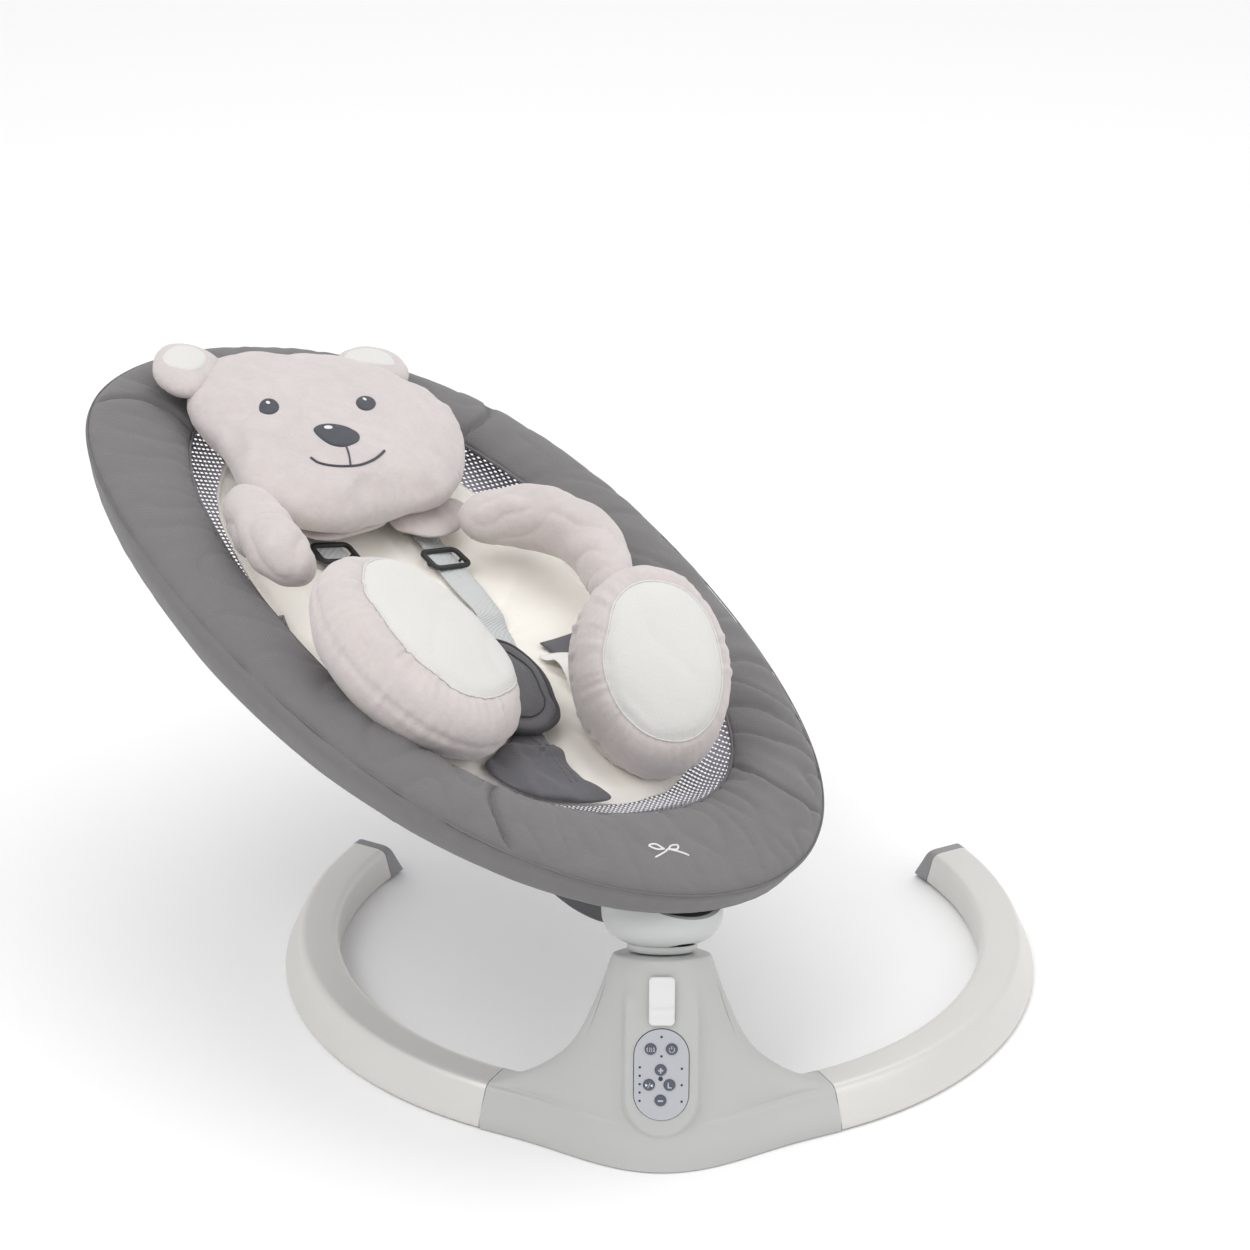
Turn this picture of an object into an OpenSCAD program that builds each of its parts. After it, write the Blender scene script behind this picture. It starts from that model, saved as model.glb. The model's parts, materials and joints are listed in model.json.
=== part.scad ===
// Motorised baby swing: an open ring base, a leaning drive pedestal and a padded oval seat
// that swings about the pedestal's axis, with a plush bear liner. Millimetres, +Z up.
// Origin: centre of the base ring on the floor. The pedestal stands at the front, -Y.

/* [Base ring] */
// Outer radius of the base ring
ring_r = 295; // [285:1:305]
// Width of the base tube, seen from above
leg_w = 40.6; // [36:0.2:44]
// Angle of the tube-to-pedestal joint, from the front
joint_deg = 27; // [26:0.5:28]
// Angle of the tube's end, from the front
leg_end_deg = 119.4; // [110:0.2:128]
// Wall of the base tube
leg_wall = 2; // [1.5:0.1:3]
// Thickness of the rubber foot pads
pad_h = 1; // [0.8:0.2:2]

/* [Pedestal] */
// How far the front of the pedestal reaches from the ring's centre
front_y = 326; // [322:1:330]
// Distance of the swing axis from the ring's centre, at the top of the pedestal
hub_y = 243; // [240:1:246]
// Height of the top of the pedestal on the swing axis
hub_z = 140; // [136:1:144]
// Lean of the swing axis, backwards
hub_tilt = 20; // [18:1:22]
// Lean of the front face, backwards
face_lean = 16; // [15:0.5:17]
// Wall of the pedestal shell
shell_wall = 2.5; // [2:0.1:3]

/* [Controls] */
// Size of the control panel, across and along the face
panel_size = [40, 68.4]; // [36:0.2:72]
// Distance of the panel's centre up the front face
panel_v = 73.5; // [72:0.5:75]
// Diameter of a push button
button_d = 8.4; // [7:0.2:9]
// Size of the swing lock slider, across and along the face
lock_size = [19, 36.5]; // [16:0.5:40]

/* [Seat ring] */
// Length of the padded seat ring
seat_l = 760; // [750:1:770]
// Width of the padded seat ring before its fullness is added
seat_w = 520; // [510:1:530]
// Swing angle at rest, towards the left
rest_deg = 36; // [36:1:36]
// Slope of the seat ring from the hub plane
seat_slope = 30; // [29:1:31]
// Centre of the seat ring: distance behind the axis and above the hub plane
seat_pos = [263.5, 240]; // [238:0.5:265]
// Depth of the sling below the ring
sling_depth = 55; // [50:1:60]
// Diameter of the ring's steel tube
ring_tube_d = 20; // [18:1:20]

/* [Drive] */
// Gear module
gear_m = 1.6; // [1.6:0.1:1.6]
// Teeth on the full circle of the sector gear
gear_z = 30; // [30:1:30]
// Teeth on the motor pinion
pinion_z = 10; // [10:1:10]
// Radius of the swing shaft
shaft_r = 10; // [8:0.5:11]

/* [Bowl] */
// Radius of the turning bowl
bowl_r = 45; // [44:0.5:46]
// Radius of the bowl's spherical underside, the arc that it reclines on
bowl_sphere = 80; // [78:1:82]

/* [Hidden] */
$fn = 48;
ring_in = ring_r - leg_w;
ring_c = ring_r - leg_w / 2;
leg_top = 33;
face_tan = tan(face_lean);
gap = 0.3;
plate_in = shell_wall + 0.8;

// ---- small shared functions ----
// Signed power, which squares off an oval
function spow(v, e) = (v < 0 ? -1 : 1) * pow(abs(v), e);
function mix(a, b, k) = a + (b - a) * k;
function clamp01(v) = v < 0 ? 0 : (v > 1 ? 1 : v);
function soft(v) = clamp01(v) * clamp01(v) * (3 - 2 * clamp01(v));
function flat(lists) = [for (l = lists) each l];
// Points of an arc about [x, y], from angle a0 to a1
function arc(x, y, r, a0, a1, n) = [for (i = [0:n]) let (a = mix(a0, a1, i / n)) [x + r * cos(a), y + r * sin(a)]];

// Closed skin through rings of points: each ring has the same count, capped at both ends
module skin(rings) {
  n = len(rings[0]);
  m = len(rings);
  polyhedron(points = flat(rings), faces = concat(
    [[for (i = [0:n - 1]) i]],
    [for (j = [0:m - 2], i = [0:n - 1]) each let (a = j * n + i, b = j * n + (i + 1) % n)
      [[a, a + n, b], [b, a + n, b + n]]],
    [[for (i = [n - 1:-1:0]) (m - 1) * n + i]]));
}

// Closed skin whose last ring joins its first, for a tube that closes on itself
module loop_skin(rings) {
  n = len(rings[0]);
  m = len(rings);
  polyhedron(points = flat(rings), faces = [for (j = [0:m - 1], i = [0:n - 1]) each
    let (k = (j + 1) % m, i2 = (i + 1) % n)
      [[j * n + i, k * n + i, j * n + i2], [j * n + i2, k * n + i, k * n + i2]]]);
}

module rounded_box(size, r) {
  for (x = [-1, 1], y = [-1, 1]) {
    translate([x * (size[0] / 2 - r), y * (size[1] / 2 - r), 0]) cylinder(r = r, h = size[2]);
  }
  translate([-size[0] / 2 + r, -size[1] / 2, 0]) cube([size[0] - 2 * r, size[1], size[2]]);
  translate([-size[0] / 2, -size[1] / 2 + r, 0]) cube([size[0], size[1] - 2 * r, size[2]]);
}

module stadium(w, l, h) {
  translate([0, (l - w) / 2, 0]) cylinder(d = w, h = h);
  translate([0, -(l - w) / 2, 0]) cylinder(d = w, h = h);
  translate([-w / 2, -(l - w) / 2, 0]) cube([w, l - w, h]);
}

module blob(c, axes, turn = [0, 0, 0]) {
  translate(c) rotate(turn) scale(axes) sphere(r = 1, $fn = 24);
}

// ---- frames ----
// Swing frame: on the swing axis at the pedestal's top, +Z along the axis
module on_hub() {
  translate([0, -hub_y, hub_z]) rotate([-hub_tilt, 0, 0]) children();
}
// Head frame: the swing frame turned to the seat's rest angle, +Y towards the seat's head
module on_head() {
  on_hub() rotate([0, 0, rest_deg]) children();
}
// Seat frame: centre of the seat ring, +X across, +Y towards the head, +Z out of the ring
module on_seat() {
  on_head() translate([0, seat_pos[0], seat_pos[1]]) rotate([seat_slope, 0, 0]) children();
}
// Face frame: on the pedestal's leaning front, +Y up the face, +Z outwards
module on_face() {
  translate([0, 3 - front_y, 0]) rotate([90 - face_lean, 0, 0]) children();
}

// ---- base ring ----
function leg_profile(o) = [[ring_in + 3 + o, pad_h + o], [ring_r + 2 - o, pad_h + o],
  [ring_r + 2.5 - o, pad_h + 4], [ring_r - 7 - o, 26.5], [ring_r - 9.2 - o, 30.6 - o * 0.6],
  [ring_r - 13, leg_top - o], [ring_in + 5, leg_top - o], [ring_in + 1.5 + o, 31.4 - o * 0.6],
  [ring_in + o, 28], [ring_in + o, pad_h + 3]];

module leg_arc(o, a0, a1) {
  rotate([0, 0, a0 - 90]) rotate_extrude(angle = a1 - a0, $fn = 120) polygon(leg_profile(o));
}

// Everything past a slanting plane across the tube's end, y beyond the end angle at the floor
module past_end(y, slant, depth = 90) {
  rotate([0, 0, leg_end_deg - 90]) translate([ring_in - 20, y, pad_h]) rotate([slant, 0, 0])
    translate([0, depth > 0 ? 0 : depth, -40]) cube([leg_w + 40, abs(depth), 120]);
}
seam_slant = 18.5;

module leg_tube() {
  difference() {
    leg_arc(0, joint_deg, leg_end_deg + 6);
    leg_arc(leg_wall, joint_deg - 1, leg_end_deg + 7);
    past_end(4, seam_slant);
  }
}

module leg_tube_left() {
  color("gainsboro") mirror([1, 0, 0]) leg_tube();
}

module leg_tube_right() {
  color("gainsboro") leg_tube();
}

// Solid plug that carries the tube on the pedestal's end wall
module leg_joiner_left() {
  color("dimgray") mirror([1, 0, 0]) leg_arc(leg_wall + 0.2, joint_deg, joint_deg + 7);
}

module leg_joiner_right() {
  color("dimgray") leg_arc(leg_wall + 0.2, joint_deg, joint_deg + 7);
}

// End cap: a wedge whose top slopes down to the open end
module end_cap() {
  difference() {
    leg_arc(0, leg_end_deg - 4, leg_end_deg + 8);
    past_end(4, seam_slant, -90);
    past_end(22, 33);
  }
  difference() {
    leg_arc(leg_wall + 0.2, leg_end_deg - 6, leg_end_deg + 4);
    past_end(4, seam_slant);
  }
}

module end_cap_left() {
  color("gray") mirror([1, 0, 0]) end_cap();
}

module end_cap_right() {
  color("gray") end_cap();
}

pad_at = [[19, 285], [60, ring_c], [105, ring_c]];
module foot_pads() {
  color("dimgray") for (s = [-1, 1], p = pad_at) {
    rotate([0, 0, -90 + s * p[0]]) translate([p[1], 0, 0]) cylinder(d = 22, h = pad_h);
  }
}

// ---- pedestal ----
// Every level of the pedestal is an outline about a centre line that bends with the ring low
// down and straightens into a disc at the top.
end_x = ring_c * sin(joint_deg);
half_w = [[0, end_x], [leg_top, end_x], [34, end_x - 1], [36, 118], [40, 108], [46, 97], [54, 85],
  [64, 73], [78, 62], [102, 50], [124, 41.5], [136, 37.5], [138.8, 36], [140, 33]];
mid_front = [[0, front_y], [leg_top, 313.5], [60, 304.5], [100, 291.5], [124, 283.5],
  [136, 279.5], [138.8, 277.5], [140, 274.5]];
mid_back = [[0, 235], [leg_top, 229], [60, 215], [100, 210.5], [136, 208.5], [138.8, 209.5], [140, 212]];
level_c = [[0, ring_c], [leg_top, ring_c], [60, 266], [100, 252], [140, hub_y]];
edge_f = [[0, 22], [pad_h, 22.3], [pad_h + 4, 22.8], [26.5, 13.3], [30.6, 11.1], [leg_top, 7.3], [140, 7.3]];
edge_b = [[0, 16.3], [pad_h, 17.3], [pad_h + 3, 20.3], [28, 20.3], [31.4, 18.8], [leg_top, 15.3], [140, 15.3]];
squareness = [[0, 60], [leg_top, 60], [34, 20], [40, 8], [54, 5], [78, 3.4], [102, 2.6], [140, 2]];
cavity_levels = [136, 124, 102, 78, 54, 40, 30.5, 26, pad_h + 4, pad_h];
levels = [pad_h, pad_h + 4, 18, 26.5, 30.6, leg_top, 36, 40, 46, 54, 64, 78, 102, 124, 136, 138.8, 140];

function shell_point(a, side, z, o) =
  let (w = lookup(z, half_w) - (z > leg_top ? o : 0),
    x = w * a,
    bend = 1 - soft((z - leg_top) / 90),
    phi = asin(x / ring_c) * bend,
    yc = -lookup(z, level_c) + bend * (ring_c - sqrt(ring_c * ring_c - x * x)),
    g = pow(cos(90 * clamp01(abs(x) / end_x)), 2.8),
    mid = side > 0 ? lookup(z, mid_front) - lookup(z, level_c) : lookup(z, level_c) - lookup(z, mid_back),
    edge = lookup(z, side > 0 ? edge_f : edge_b),
    close = pow(max(0, 1 - pow(abs(a), lookup(z, squareness))), 0.5),
    t = max(0.01, mix(edge, mid, g) - o) * (z > leg_top ? close : 1) * side,
    px = x + sin(phi) * t,
    py = yc - cos(phi) * t,
    lift = soft((z - 40) / 90) * tan(hub_tilt))
  [px, py, z - (py + lookup(z, level_c)) * lift];

function outline(z, o, n, reach) = concat(
  [for (i = [0:n]) shell_point(reach * sin(mix(-90, 90, i / n)), 1, z, o)],
  [for (i = [0:n]) shell_point(reach * sin(mix(90, -90, i / n)), z > leg_top && (i == 0 || i == n) ? 0.9 : -1, z, o)]);

// The rear service cover's region: the back of the column above the ring
module rear_region(o) {
  on_hub() translate([-30 + o, 18 + o, -95 + o]) cube([60 - 2 * o, 60, 78 - 2 * o]);
}

// One skin: up inside the cavity is the cap under the lid, then down its walls, and up outside
module pedestal_shell() {
  skin(concat([for (z = cavity_levels) outline(z, shell_wall, 26, z > leg_top ? 1 : 0.98)],
    [for (z = levels) outline(z, 0, 26, 1)]));
}

module base_shell() {
  color("silver") difference() {
    pedestal_shell();
    rear_region(0);
    on_hub() translate([0, 0, -20]) cylinder(r = shaft_r + 1.5, h = 30);
    on_face() translate([0, panel_v, -12]) stadium(panel_size[0] + 0.4, panel_size[1] + 0.4, 30);
    on_face() translate([-5.5, 129 - 16, -12]) cube([11, 32, 30]);
    translate([60, -190, 17]) rotate([90, 0, 0]) cylinder(r = 5.5, h = 80);
  }
}

module rear_cover() {
  color("silver") intersection() {
    pedestal_shell();
    rear_region(0.2);
  }
}

module bottom_plate() {
  color("darkgray") difference() {
    translate([0, 0, pad_h]) linear_extrude(height = 2)
      polygon([for (p = outline(pad_h + 1, plate_in, 26, 0.972)) [p[0], p[1]]]);
    for (s = [-1, 1]) translate([s * 66, -272, 0]) cylinder(r = 1.8, h = 10);
  }
}

module cover_screws() {
  color("dimgray") for (s = [-1, 1]) translate([s * 66, -272, pad_h - 0.8]) {
    cylinder(r = 3.2, h = 0.8);
    cylinder(r = 1.75, h = 8);
  }
}

// ---- controls ----
buttons = [[-8, 19.4], [7.5, 19.4], [-0.5, 3.7], [-0.5, -19.2], [-9, -7.5], [6, -7.5]];
leds = concat([[0, 28.5], [0, 14]], [for (i = [0:4]) [-15.8, 5.6 - 6.3 * i]], [for (i = [0:2]) [15, 4.8 - 12.4 * i]]);
face_up = 1;

module on_panel() {
  on_face() translate([0, panel_v, face_up]) children();
}

module control_panel() {
  color("gainsboro") on_panel() difference() {
    translate([0, 0, -3]) stadium(panel_size[0], panel_size[1], 3);
    for (b = buttons) translate([b[0], b[1], -4]) cylinder(d = button_d + 0.4, h = 6);
    for (l = leds) translate([l[0], l[1], -4]) cylinder(r = 0.9, h = 6);
    translate([-0.5, -3, -4]) cylinder(r = 1.7, h = 6);
  }
}

module indicator_leds() {
  color("darkslategray") on_panel() {
    for (l = leds) translate([l[0], l[1], -7]) cylinder(r = 0.85, h = 7.2, $fn = 24);
    translate([-0.5, -3, -7]) cylinder(r = 1.6, h = 7.3, $fn = 24);
  }
}

module control_board() {
  color("seagreen") on_panel() translate([0, 0, -8.6]) rounded_box([34, 60, 1.5], 4);
}

module button(i) {
  on_panel() translate([buttons[i][0], buttons[i][1], -4]) {
    cylinder(d = button_d, h = 4.9);
    translate([0, 0, -1.2]) cylinder(d = button_d + 1.4, h = 1.8);
  }
}

module button_music() {
  color("slategray") button(0);
}

module button_power() {
  color("slategray") button(1);
}

module button_plus() {
  color("slategray") button(2);
}

module button_minus() {
  color("slategray") button(3);
}

module button_swing() {
  color("slategray") button(4);
}

module button_timer() {
  color("slategray") button(5);
}

// Swing lock: a thumb slider in a slot of the face, with a raised grip at its lower end
module lock_slider() {
  color("white") on_face() translate([0, 129, 0]) {
    translate([0, 0, 1.3]) rounded_box([lock_size[0], lock_size[1], 2.1], 3);
    translate([0, -lock_size[1] / 2 + 8, 3.4]) rounded_box([lock_size[0] - 0.6, 11, 1.4], 3);
    translate([-5, -12, -6]) cube([10, 24, 7.3]);
    translate([-8, -12, -6]) cube([16, 24, 2]);
  }
}

module speaker() {
  color("dimgray") translate([-84, -266, pad_h + 2]) {
    cylinder(r = 13, h = 4);
    translate([0, 0, 4]) cylinder(r = 8, h = 6);
  }
}

module dc_inlet() {
  color("dimgray") translate([60, -223, 17]) rotate([90, 0, 0]) {
    difference() {
      cylinder(r = 5.4, h = 14);
      translate([0, 0, -1]) cylinder(r = 2.8, h = 10);
    }
    cylinder(r = 0.9, h = 9);
  }
}

// ---- drive, in the swing frame ----
pinion_at = gear_m * (gear_z + pinion_z) / 2;
gear_low = -86;
gear_t = 6;
press_deg = 25;
function involute(rb, r) = sqrt(max(0, r * r / (rb * rb) - 1)) * 180 / PI - acos(min(1, rb / r));
// Half the angle of a tooth at radius r, thinned for backlash
function tooth_half(z, r) =
  let (rp = gear_m * z / 2, rb = rp * cos(press_deg))
  90 / z - 0.11 * 180 / (PI * rp) + involute(rb, rp) - involute(rb, max(rb, r));
function tooth(z, at) =
  let (rp = gear_m * z / 2, r0 = rp - gear_m, r1 = rp + 0.8 * gear_m, n = 4)
  concat([for (i = [0:n]) let (r = mix(r0, r1, i / n)) [r, at - tooth_half(z, r)]],
    [for (i = [n:-1:0]) let (r = mix(r0, r1, i / n)) [r, at + tooth_half(z, r)]]);
function polar(l) = [for (p = l) [p[0] * cos(p[1]), p[0] * sin(p[1])]];

module sector_gear() {
  color("khaki") on_hub() translate([0, 0, gear_low]) difference() {
    linear_extrude(height = gear_t) union() {
      circle(r = 15);
      polygon(concat([[0, 0]], polar(flat([for (i = [6:15]) tooth(gear_z, i * 360 / gear_z)]))));
    }
    translate([0, 0, -1]) cylinder(r = shaft_r, h = gear_t + 2);
  }
}

module motor_pinion() {
  color("khaki") on_hub() translate([0, pinion_at, gear_low]) {
    linear_extrude(height = gear_t)
      polygon(polar(flat([for (i = [0:pinion_z - 1]) tooth(pinion_z, (i + 0.5) * 360 / pinion_z)])));
    cylinder(r = 1.5, h = 26);
  }
}

module drive_motor() {
  color("lightsteelblue") on_hub() translate([0, pinion_at, -77]) difference() {
    union() {
      cylinder(r = 12, h = 28);
      cylinder(r = 4, h = 30.5);
    }
    translate([0, 0, -1]) cylinder(r = 1.55, h = 20);
  }
}

module motor_bracket() {
  color("gray") on_hub() translate([0, 0, -79]) difference() {
    union() {
      cylinder(r = 22, h = 2);
      translate([-14, 0, 0]) cube([28, pinion_at + 9, 2]);
    }
    translate([0, 0, -1]) cylinder(r = shaft_r + 1, h = 4);
    translate([0, pinion_at, -1]) cylinder(r = 2.2, h = 4);
  }
}

module bearing_sleeve() {
  color("silver") on_hub() difference() {
    translate([0, 0, -77]) cylinder(r = 19, h = 72.2);
    translate([0, 0, -78]) cylinder(r = 16, h = 80);
  }
}

module bearing(z) {
  on_hub() translate([0, 0, z]) difference() {
    cylinder(r = 16, h = 10);
    translate([0, 0, -1]) cylinder(r = shaft_r + 0.05, h = 12);
  }
}

module lower_bearing() {
  color("lightgray") bearing(-77);
}

module upper_bearing() {
  color("lightgray") bearing(-14.8);
}

module swing_shaft() {
  color("lightgray") on_hub() translate([0, 0, -91]) cylinder(r = shaft_r, h = 91.6);
}

// Neck with a dished shoe that the bowl's spherical underside rides on
neck_r = 11;
head_c = 3 + bowl_sphere;
module swing_neck() {
  color("dimgray") on_head() difference() {
    union() {
      translate([0, 0, 0.6]) cylinder(r = 26, h = 7);
      translate([0, 0, 0.6]) cylinder(r = neck_r, h = 7.5);
      translate([-6, -17, 0.6]) cube([12, 12, 9]);
    }
    difference() {
      translate([0, 0, head_c]) sphere(r = bowl_sphere + gap, $fn = 96);
      translate([0, 0, -2]) cylinder(r = neck_r, h = 20);
      translate([-6, -17, -2]) cube([12, 17, 20]);
    }

  }
}

// Curved shoe inside the bowl that keeps it on the arc
module recline_carriage() {
  color("dimgray") on_head() difference() {
    union() {
      intersection() {
        translate([0, 0, head_c]) sphere(r = bowl_sphere - 3 - gap, $fn = 96);
        translate([-20, -14, 2]) cube([40, 34, 30]);
      }
      translate([0, 0, 8.1]) cylinder(r = neck_r, h = 6);
    }
    translate([0, 0, 2]) cylinder(r = neck_r + 0.1, h = 6.1);
    translate([-6.2, -18, 2]) cube([12.4, 18, 8]);
    translate([0, 0, head_c]) sphere(r = bowl_sphere - 9, $fn = 96);
    for (s = [-1, 1]) translate([s * 6, 0, 0]) cylinder(r = 1.6, h = 40);
  }
}

module carriage_screws() {
  color("lightgray") on_head() for (s = [-1, 1]) translate([s * 6, 0, 8.1]) {
    cylinder(r = 1.55, h = 6);
    translate([0, 0, 5]) cylinder(r = 1.55, h = 1.6);
  }
}

// ---- bowl and seat frame ----
bowl_cut = -28;
module below_bowl_cut(z) {
  translate([0, seat_pos[0], seat_pos[1]]) rotate([seat_slope, 0, 0])
    translate([-200, -500, z - 300]) cube([400, 400, 300]);
}

module bowl_solid(o) {
  intersection() {
    translate([0, 0, head_c]) sphere(r = bowl_sphere - o, $fn = 96);
    cylinder(r = bowl_r - o, h = 90);
  }
}

module hub_bowl() {
  color("silver") on_head() difference() {
    intersection() {
      bowl_solid(0);
      below_bowl_cut(bowl_cut);
    }
    bowl_solid(3);
    translate([0, -20, 0]) cylinder(r = neck_r + 0.8, h = 24);
    cylinder(r = neck_r + 0.8, h = 24);
    translate([-neck_r - 0.8, -20, 0]) cube([2 * neck_r + 1.6, 20, 24]);
    translate([-12.5, 26, 12]) cube([25, 40, 25]);
  }
}

// Saddle plate in the bowl's rim, with two posts to the ring tube and a web down to the spine
module seat_bracket() {
  color("dimgray") on_head() {
    difference() {
      intersection() {
        translate([0, 0, 2]) cylinder(r = bowl_r - 3.2, h = 90);
        translate([0, seat_pos[0], seat_pos[1]]) rotate([seat_slope, 0, 0])
          translate([-200, -500, bowl_cut - 6]) cube([400, 400, 6]);
      }
      for (s = [-1, 1]) translate([s * 24, 0, 30]) cylinder(r = 1.6, h = 40);
    }
    difference() {
      translate([-15, 24, 19]) cube([30, 12, 67]);
      translate([0, seat_pos[0], seat_pos[1]]) rotate([seat_slope, 0, 0])
        translate([-200, -500, bowl_cut]) cube([400, 400, 100]);
    }
    translate([0, seat_pos[0], seat_pos[1]]) rotate([seat_slope, 0, 0]) for (s = [-1, 1])
      translate([s * 24 - 6, -345, bowl_cut]) cube([12, 12, 20]);
  }
}

module bracket_screws() {
  color("lightgray") on_head() for (s = [-1, 1]) translate([s * 24, 0, 40]) {
    cylinder(r = 1.5, h = 11);
  }
}

// Outer seam of the padded ring; t = 0 at the head, 180 at the foot
function seam(t) = [seat_w / 2 * sin(t) * (1 + 0.08 * cos(t) + 0.07 * cos(2 * t)), seat_l / 2 * cos(t)];
// Inner edge of the padded ring, a rounded box of an oval
inner_w = 175;
function inner(t) = [inner_w * spow(sin(t), 0.87), 5 + (cos(t) > 0 ? 305 : 285) * spow(cos(t), 0.87)];
// Point d inward from the seam and z above the ring plane
function rim_point(t, d, z) =
  let (o = seam(t), v = inner(t) - seam(t), u = v / norm(v))
  [o[0] + u[0] * d, o[1] + u[1] * d, z];
function rim_width(t) = norm(inner(t) - seam(t));

tube_in = 21;
tube_z = -14;
hug_r = ring_tube_d / 2 + 0.6;
// Section of the cover: over the top, down the side band, under the tube and back round it
function cover_section(t) =
  let (w = rim_width(t))
  concat([for (p = [[0, 1], [5, 5], [0.25 * w, 9], [0.5 * w, 11], [0.75 * w, 10], [0.93 * w, 6],
      [w, 2], [w - 2, -1.5]]) rim_point(t, p[0], p[1])],
    [for (i = [0:7]) let (a = mix(50, 290, i / 7)) rim_point(t, tube_in + hug_r * cos(a), tube_z + hug_r * sin(a))],
    [for (p = [[25, -26], [16, -26.6], [8.5, -22], [4, -12]]) rim_point(t, p[0], p[1])]);

module ring_cover() {
  color("gray") on_seat() loop_skin([for (j = [0:51]) cover_section(j * 360 / 52)]);
}

module ring_tube() {
  color("dimgray") on_seat() loop_skin([for (j = [0:51]) let (t = j * 360 / 52)
    [for (i = [0:9]) rim_point(t, tube_in + ring_tube_d / 2 * cos(-i * 36), tube_z + ring_tube_d / 2 * sin(-i * 36))]]);
}

// Spine under the sling, from the bowl's rim to the ring's head end
spine_path = [[-303, -74], [-286, -87], [-265, -97], [-239, -105], [-197, -112], [-140, -114], [-80, -113],
  [-20, -109], [50, -102], [120, -92], [190, -77], [250, -59], [300, -40], [333, -23], [345.5, -16]];
module spine_tube() {
  n = len(spine_path);
  color("dimgray") on_seat() skin([for (j = [n - 1:-1:0])
    let (p = spine_path[j], q = spine_path[min(n - 1, j + 1)] - spine_path[max(0, j - 1)], a = atan2(q[1], q[0]))
    [for (k = [0:11]) let (c = cos(k * 30), s = sin(k * 30), x = 11 * spow(c, 0.5), h = 7.5 * spow(s, 0.5))
      [x, p[0] - sin(a) * h, p[1] + cos(a) * h]]]);
}

// ---- sling and soft goods, in the seat frame ----
sling_c = [0, -40];
function sling_z(r) = -4 - sling_depth * (1 - pow(r, 2.6));
function in_seat(t, r) = sling_c + (inner(t) - sling_c) * r;
function dish_ring(r, z) = [for (j = [0:39]) let (p = in_seat(-j * 9, r)) [p[0], p[1], z]];

module mesh_sling() {
  color("lavender") on_seat() skin(concat(
    [for (r = [0.08, 0.3, 0.5, 0.66, 0.8, 0.9, 0.985]) dish_ring(r, sling_z(r) - 1.2)],
    [for (r = [0.985, 0.9, 0.8, 0.66, 0.5, 0.3, 0.08]) dish_ring(r, sling_z(r) + 0.6)]));
}

pad_top = -14;
module liner_body() {
  color("ivory") on_seat() skin(concat(
    [for (r = [0.08, 0.3, 0.5, 0.66, 0.8, 0.86]) dish_ring(r, sling_z(r) + 1.4)],
    [for (r = [0.875, 0.86, 0.8, 0.5, 0.1]) dish_ring(r, [-15, -14.4, pad_top, pad_top, pad_top]
      [r > 0.87 ? 0 : (r > 0.85 ? 1 : 2)])]));
}

head_at = [-20, 208, 24];
head_axes = [122, 117, 27];
module bear_head() {
  color("lightgray") on_seat() blob(head_at, head_axes);
}

module ear(c, turn) {
  on_seat() difference() {
    blob(c, [33, 27, 12], turn);
    blob(head_at, head_axes + [0.8, 0.8, 0.8]);
  }
}

module ear_left() {
  color("lightgray") ear([-110, 304, 32], [0, 0, 40]);
}

module ear_right() {
  color("lightgray") ear([68, 308, 28], [0, 0, -40]);
}

// Bolster through a path of [x, y, z, radius], with its ends closed down
module bolster(path) {
  n = len(path);
  skin([for (j = [0:n - 1])
    let (p = path[j], q = path[min(n - 1, j + 1)] - path[max(0, j - 1)], a = atan2(q[1], q[0]))
    [for (k = [0:15]) [p[0] - sin(a) * cos(k * 22.5) * p[3], p[1] + cos(a) * cos(k * 22.5) * p[3],
      p[2] + sin(k * 22.5) * p[3]]]]);
}

module arm_left() {
  color("lightgray") on_seat() bolster([[-138, 126, 22, 4], [-142, 122, 23, 15], [-149, 108, 25, 22],
    [-155, 84, 28, 25], [-160, 56, 32, 26], [-161, 28, 34, 25], [-159, 8, 34, 20], [-157, -4, 34, 12],
    [-156, -9, 34, 4]]);
}

module arm_right() {
  color("lightgray") on_seat() bolster([[40, 84, 18, 5], [48, 86, 19, 16], [66, 87, 21, 24], [92, 82, 24, 27],
    [116, 68, 28, 28], [128, 42, 30, 27], [128, 12, 30, 26], [119, -14, 30, 24], [108, -32, 30, 17],
    [102, -40, 30, 5]]);
}

// Foot pillow, flattened where it is sewn down onto the liner
module leg(c, axes, turn) {
  on_seat() difference() {
    blob(c, axes, turn);
    translate([-300, -400, -100]) cube([600, 800, 92]);
  }
}

module leg_left() {
  color("lightgray") leg([-120, -114, 36], [74, 97, 42], [12, 12, 22]);
}

module leg_right() {
  color("lightgray") leg([60, -172, 48], [64, 87, 52], [40, -12, 8]);
}

module collar_flap() {
  color("lightgray") on_seat() blob([-34, 98, -4], [50, 14, 3.5]);
}

module web(x, y0, y1, z) {
  translate([x - 12.5, y0, z]) cube([25, y1 - y0, 1.5]);
}

module chest_strap_left() {
  color("gray") on_seat() web(-66, -30, 110, pad_top + 0.3);
}

module chest_strap_right() {
  color("lightgray") on_seat() web(34, -30, 104, pad_top + 0.3);
}

// Three-bar slide that sets the length of a shoulder strap
module slide_buckle(x, y) {
  on_seat() translate([x, y, pad_top + 2.1]) difference() {
    rounded_box([36, 24, 3], 3);
    for (s = [-1, 1]) translate([-13, s * 5.2 - 3, -1]) cube([26, 6, 5]);
  }
}

module strap_slider() {
  color("dimgray") slide_buckle(34, 78);
}

module strap_slider_left() {
  color("dimgray") slide_buckle(-66, 90);
}

module crotch_pad() {
  color("dimgray") on_seat() translate([4, -112, pad_top + 0.3]) stadium(60, 120, 5);
}

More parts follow.
